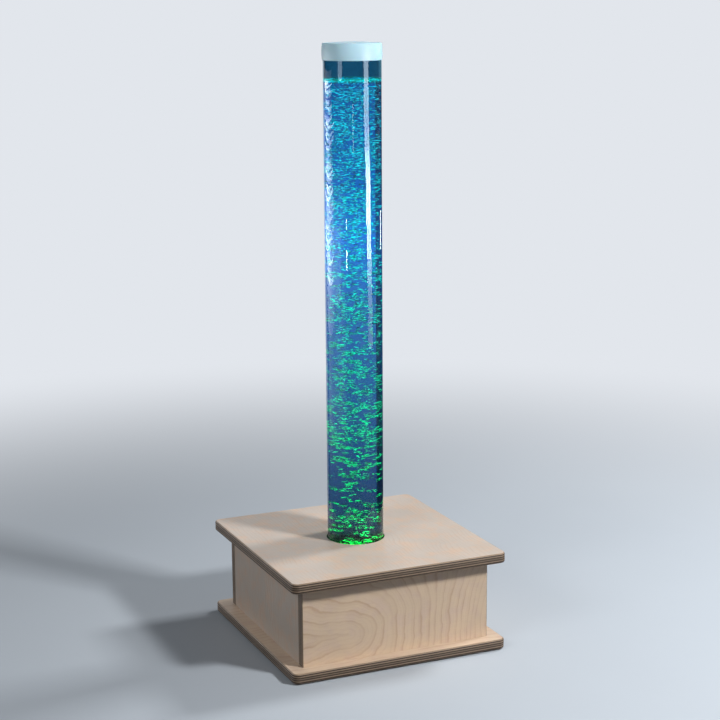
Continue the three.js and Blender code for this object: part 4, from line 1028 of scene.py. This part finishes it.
disc_profile = [
    (0.0, disc_low.z),
    (disc_high.x, disc_low.z),
    (disc_high.x, cap_high.z - 2 * GAP),
    (disc_high.x - GAP, cap_high.z - GAP),
]
for step in range(1, CROWN_STEPS + 1):
    share = 1 - step / CROWN_STEPS
    fall = (disc_high.z - cap_high.z + GAP) * share**2
    disc_profile.append((disc_high.x * share, disc_high.z - fall))
vent_tree, n, ins, outs = new_tree(
    "vent_ring",
    "GeometryNodeTree",
    [
        ("Geometry", "Geometry"),
        ("Vents", "Int"),
        ("Circle", "Float"),
        ("Vent Radius", "Float"),
        ("Height", "Float"),
        ("Material", "Material"),
    ],
    [("Geometry", "Geometry")],
)
vent_tree.is_modifier = True
vent_places = n.add("GeometryNodeMeshCircle", Vertices=ins["Vents"], Radius=ins["Circle"])
drill = n.add(
    "GeometryNodeMeshCylinder", Vertices=VENT_SIDES, Radius=ins["Vent Radius"], Depth=DRILL_LENGTH
)
drills = n.add("GeometryNodeInstanceOnPoints", Points=vent_places, Instance=drill)
drills = n.add("GeometryNodeRealizeInstances", Geometry=drills)
height = n.vector(0.0, 0.0, ins["Height"])
drills = n.add("GeometryNodeTransform", Geometry=drills, Translation=height)
cut_through = {"operation": "DIFFERENCE", "solver": "EXACT"}
pierced = n.add("GeometryNodeMeshBoolean", 0, cut_through, i0=ins["Geometry"], i1=drills)
real = n.add("GeometryNodeRealizeInstances", Geometry=pierced)
n.set(outs[0], n.add("GeometryNodeSetMaterial", Geometry=real, Material=ins["Material"]))
disc_mesh = grown(
    "cap_vent_disc",
    vent_tree,
    turned("cap_vent_disc", disc_profile, CAP_SIDES),
    Vents=VENT_COUNT,
    Circle=(disc_radius - LEDGE_WIDTH) * VENT_CIRCLE_SHARE,
    Vent_Radius=VENT_RADIUS,
    Height=disc_low.z,
    Material=cap_white,
)
add_piece("cap_vent_disc_moulded", disc_mesh, None, "cap", ("cap_vent_disc",))

# Studio: a plain pale floor fades into a pale backdrop. A soft key, a side light and a fill
# light it all, and long soft panels and dark cards are only seen in or through the tube.
BACKDROP = shade(226, 230, 236)
AMBIENT = 0.12
FLOOR_REACH = 40
FLOOR_NEAR, FLOOR_FAR = 0.7, 2.4
floor_mesh = bpy.data.meshes.new("floor")
floor_corners = [
    (sx * FLOOR_REACH, sy * FLOOR_REACH, 0) for sx, sy in ((-1, -1), (1, -1), (1, 1), (-1, 1))
]
floor_mesh.from_pydata(floor_corners, [], [(0, 1, 2, 3)])
floor = bpy.data.objects.new("floor", floor_mesh)
bpy.context.scene.collection.objects.link(floor)


def seen_rays(nodes):
    """One for what the camera sees, straight or through gloss or glass, and none for light."""
    path = nodes.tree.nodes.new("ShaderNodeLightPath").outputs
    through = nodes.math("MAXIMUM", path["Is Glossy Ray"], path["Is Transmission Ray"])
    return nodes.math("MAXIMUM", path["Is Camera Ray"], through)


floor_finish, nodes, sockets = new_material("floor_finish")
place = nodes.place()
cloud = nodes.noise(place, scale=1.2)
pale = nodes.mix(cloud, shade(192, 200, 209), shade(200, 208, 216))
nodes.set(sockets["Base Color"], nodes.mix(seen_rays(nodes), shade(118, 122, 128), pale))
sockets["Roughness"].default_value = 0.9
sockets["Specular IOR Level"].default_value = 0.0
x, y, z = nodes.split(place)
far = nodes.fade(nodes.reach(x, y), FLOOR_NEAR, FLOOR_FAR)
far = nodes.times(far, seen_rays(nodes))
glow = nodes.add("ShaderNodeEmission", Color=BACKDROP, Strength=1.0)
tree = nodes.tree
painted = tree.nodes["Principled BSDF"].outputs[0]
surface = nodes.add("ShaderNodeMixShader", i0=far, i1=painted, i2=glow)
nodes.set(tree.nodes["Material Output"].inputs["Surface"], surface)
floor_mesh.materials.append(floor_finish)


def soft_light(name, azimuth, distance, z, width, height, watts, aim, lights="diffuse"):
    """A panel of light at an azimuth seen from the front, turned towards the tube's axis."""
    data = bpy.data.lights.new(name, "AREA")
    data.shape = "RECTANGLE"
    data.size, data.size_y = width, height
    data.energy = watts
    light = bpy.data.objects.new(name, data)
    bpy.context.scene.collection.objects.link(light)
    turn = math.radians(azimuth)
    light.location = (distance * math.sin(turn), -distance * math.cos(turn), z)
    towards = Vector((0, 0, aim)) - light.location
    light.rotation_euler = towards.to_track_quat("-Z", "Y").to_euler()
    light.visible_camera = False
    light.visible_diffuse = lights == "diffuse"
    light.visible_glossy = lights == "gloss"
    light.visible_transmission = lights == "glass"


for name, azimuth, z, size, watts, aim in (
    ("key", 34, 1.7, 0.3, 42, 0.15),
    ("side", 98, 1.9, 0.5, 35, 0.2),
    ("fill", -60, 1.5, 0.8, 17, 2.2),
):
    soft_light(name, azimuth, 2.0, z, size, size, watts, aim)
for azimuth, low, high, width, strength in (
    (32, 0.76, 1.2, 0.72, 37),
    (34, 0.7, 0.76, 0.72, 42),
    (36, 0.66, 0.7, 0.72, 68),
    (37.5, 0.62, 0.66, 0.72, 96),
    (39, 0.49, 0.62, 0.7, 112),
    (41, 0.387, 0.49, 0.68, 78),
    (43, 0.317, 0.387, 0.74, 27),
    (44.5, 0.247, 0.317, 0.74, 15),
    (45.5, 0.125, 0.247, 0.74, 9.5),
):
    z, height = (low + high) / 2, high - low
    soft_light("strip", azimuth, 2.0, z, width, height, strength * width * height, z, "gloss")
for name, azimuth, distance, z, width, height, watts, lights in (
    ("slim_gap", -71.6, 2.0, 0.925, 0.6, 0.055, 0.6, "gloss"),
    ("slim_top", -21.6, 2.0, 0.765, 0.1, 0.14, 0.3, "gloss"),
    ("slim_middle", -50, 2.0, 0.492, 0.1, 0.03, 0.4, "gloss"),
    ("slim_low", -50, 2.0, 0.388, 0.1, 0.06, 1.0, "gloss"),
    ("glint", 115, 2.2, 0.44, 0.2, 0.12, 0.8, "gloss"),
    ("window", 112, 2.2, 0.69, 1.2, 0.36, 0.9, "glass"),
):
    soft_light(name, azimuth, distance, z, width, height, watts, z, lights)
PANES, PANES_LOW, PANES_SPAN = 66, 0.275, 0.61
draw = random.Random(5)
for pane in range(PANES):
    z = PANES_LOW + PANES_SPAN * (pane + draw.random()) / PANES
    width, height = draw.uniform(0.6, 2.1), draw.uniform(0.005, 0.015)
    watts = draw.uniform(6.0, 22.0) * width * height
    soft_light("pane", draw.uniform(-148, -124), 2.2, z, width, height, watts, z, "gloss")
for name, azimuth, z, width, height, watts in (
    ("veil_high", -134, 0.76, 1.9, 0.3, 1.4),
    ("veil_low", -132, 0.47, 2.0, 0.18, 2.0),
    ("veil_foot", -132, 0.3, 2.0, 0.16, 2.2),
    ("veil_floor", -132, 0.16, 2.0, 0.12, 0.9),
    ("veil_side", -92, 0.32, 1.4, 0.24, 1.7),
):
    soft_light(name, azimuth, 2.3, z, width, height, watts, z, "gloss")


CARD_STEPS = 24
CARD_REACH, CARD_FOOT, CARD_TOP = 3.0, 0.002, 2.4


def dark_card(name, start, end, near, through):
    """A bent black card round the tube, seen in gloss alone or through clear pieces alone."""
    mesh = bpy.data.meshes.new(name)
    profile = ((near, CARD_FOOT), (CARD_REACH, CARD_FOOT), (CARD_REACH, CARD_TOP))
    corners = []
    faces = []
    for step in range(CARD_STEPS + 1):
        turn = math.radians(start + (end - start) * step / CARD_STEPS)
        for reach, z in profile:
            corners.append((reach * math.sin(turn), -reach * math.cos(turn), z))
    across = len(profile)
    for step in range(CARD_STEPS):
        for row in range(across - 1):
            first = step * across + row
            faces.append((first, first + across, first + across + 1, first + 1))
    mesh.from_pydata(corners, [], faces)
    mesh.materials.append(flag_cloth)
    card = bpy.data.objects.new(name, mesh)
    bpy.context.scene.collection.objects.link(card)
    card.visible_camera = False
    card.visible_diffuse = False
    card.visible_shadow = False
    card.visible_transmission = through
    card.visible_glossy = not through


# Flag cloth: black, but over a band of azimuth and lower down it glows the backdrop's colour: a
# painted pale reflection, seen in the tube.
flag_cloth, nodes, sockets = new_material("flag_cloth")
x, y, z = nodes.split(nodes.place())
azimuth = nodes.math("ARCTAN2", x, nodes.times(y, -1.0))
before_end = nodes.fade(azimuth, -1.3, -0.75, to_low=1.0, to_high=0.0)
painted_glow_band = nodes.times(nodes.fade(azimuth, -2.75, -2.4), before_end)
painted_glow_band = nodes.times(painted_glow_band, nodes.fade(z, 0.3, 0.65, to_low=1.0, to_high=0.0))
painted_glow_band = nodes.times(painted_glow_band, nodes.fade(nodes.reach(x, y), 0.9, 1.9, to_low=0.15))
sockets["Base Color"].default_value = shade(14, 15, 17)
sockets["Roughness"].default_value = 0.9
nodes.set(sockets["Emission Color"], nodes.toned(BACKDROP, painted_glow_band))
sockets["Emission Strength"].default_value = 1.2
flag_cloth.cycles.emission_sampling = "NONE"
dark_card("card_left", -176, -110, near=0.8, through=True)
dark_card("card_front", -160, 152, near=0.32, through=False)

world = bpy.data.worlds.new("studio")
bpy.context.scene.world = world
world.use_nodes = True
nodes = Wiring(world.node_tree)
background = world.node_tree.nodes["Background"].inputs
background["Color"].default_value = BACKDROP
strength = nodes.rising(seen_rays(nodes), by=1 - AMBIENT, start=AMBIENT)
nodes.set(background["Strength"], strength)
bpy.context.scene.view_settings.view_transform = "Standard"
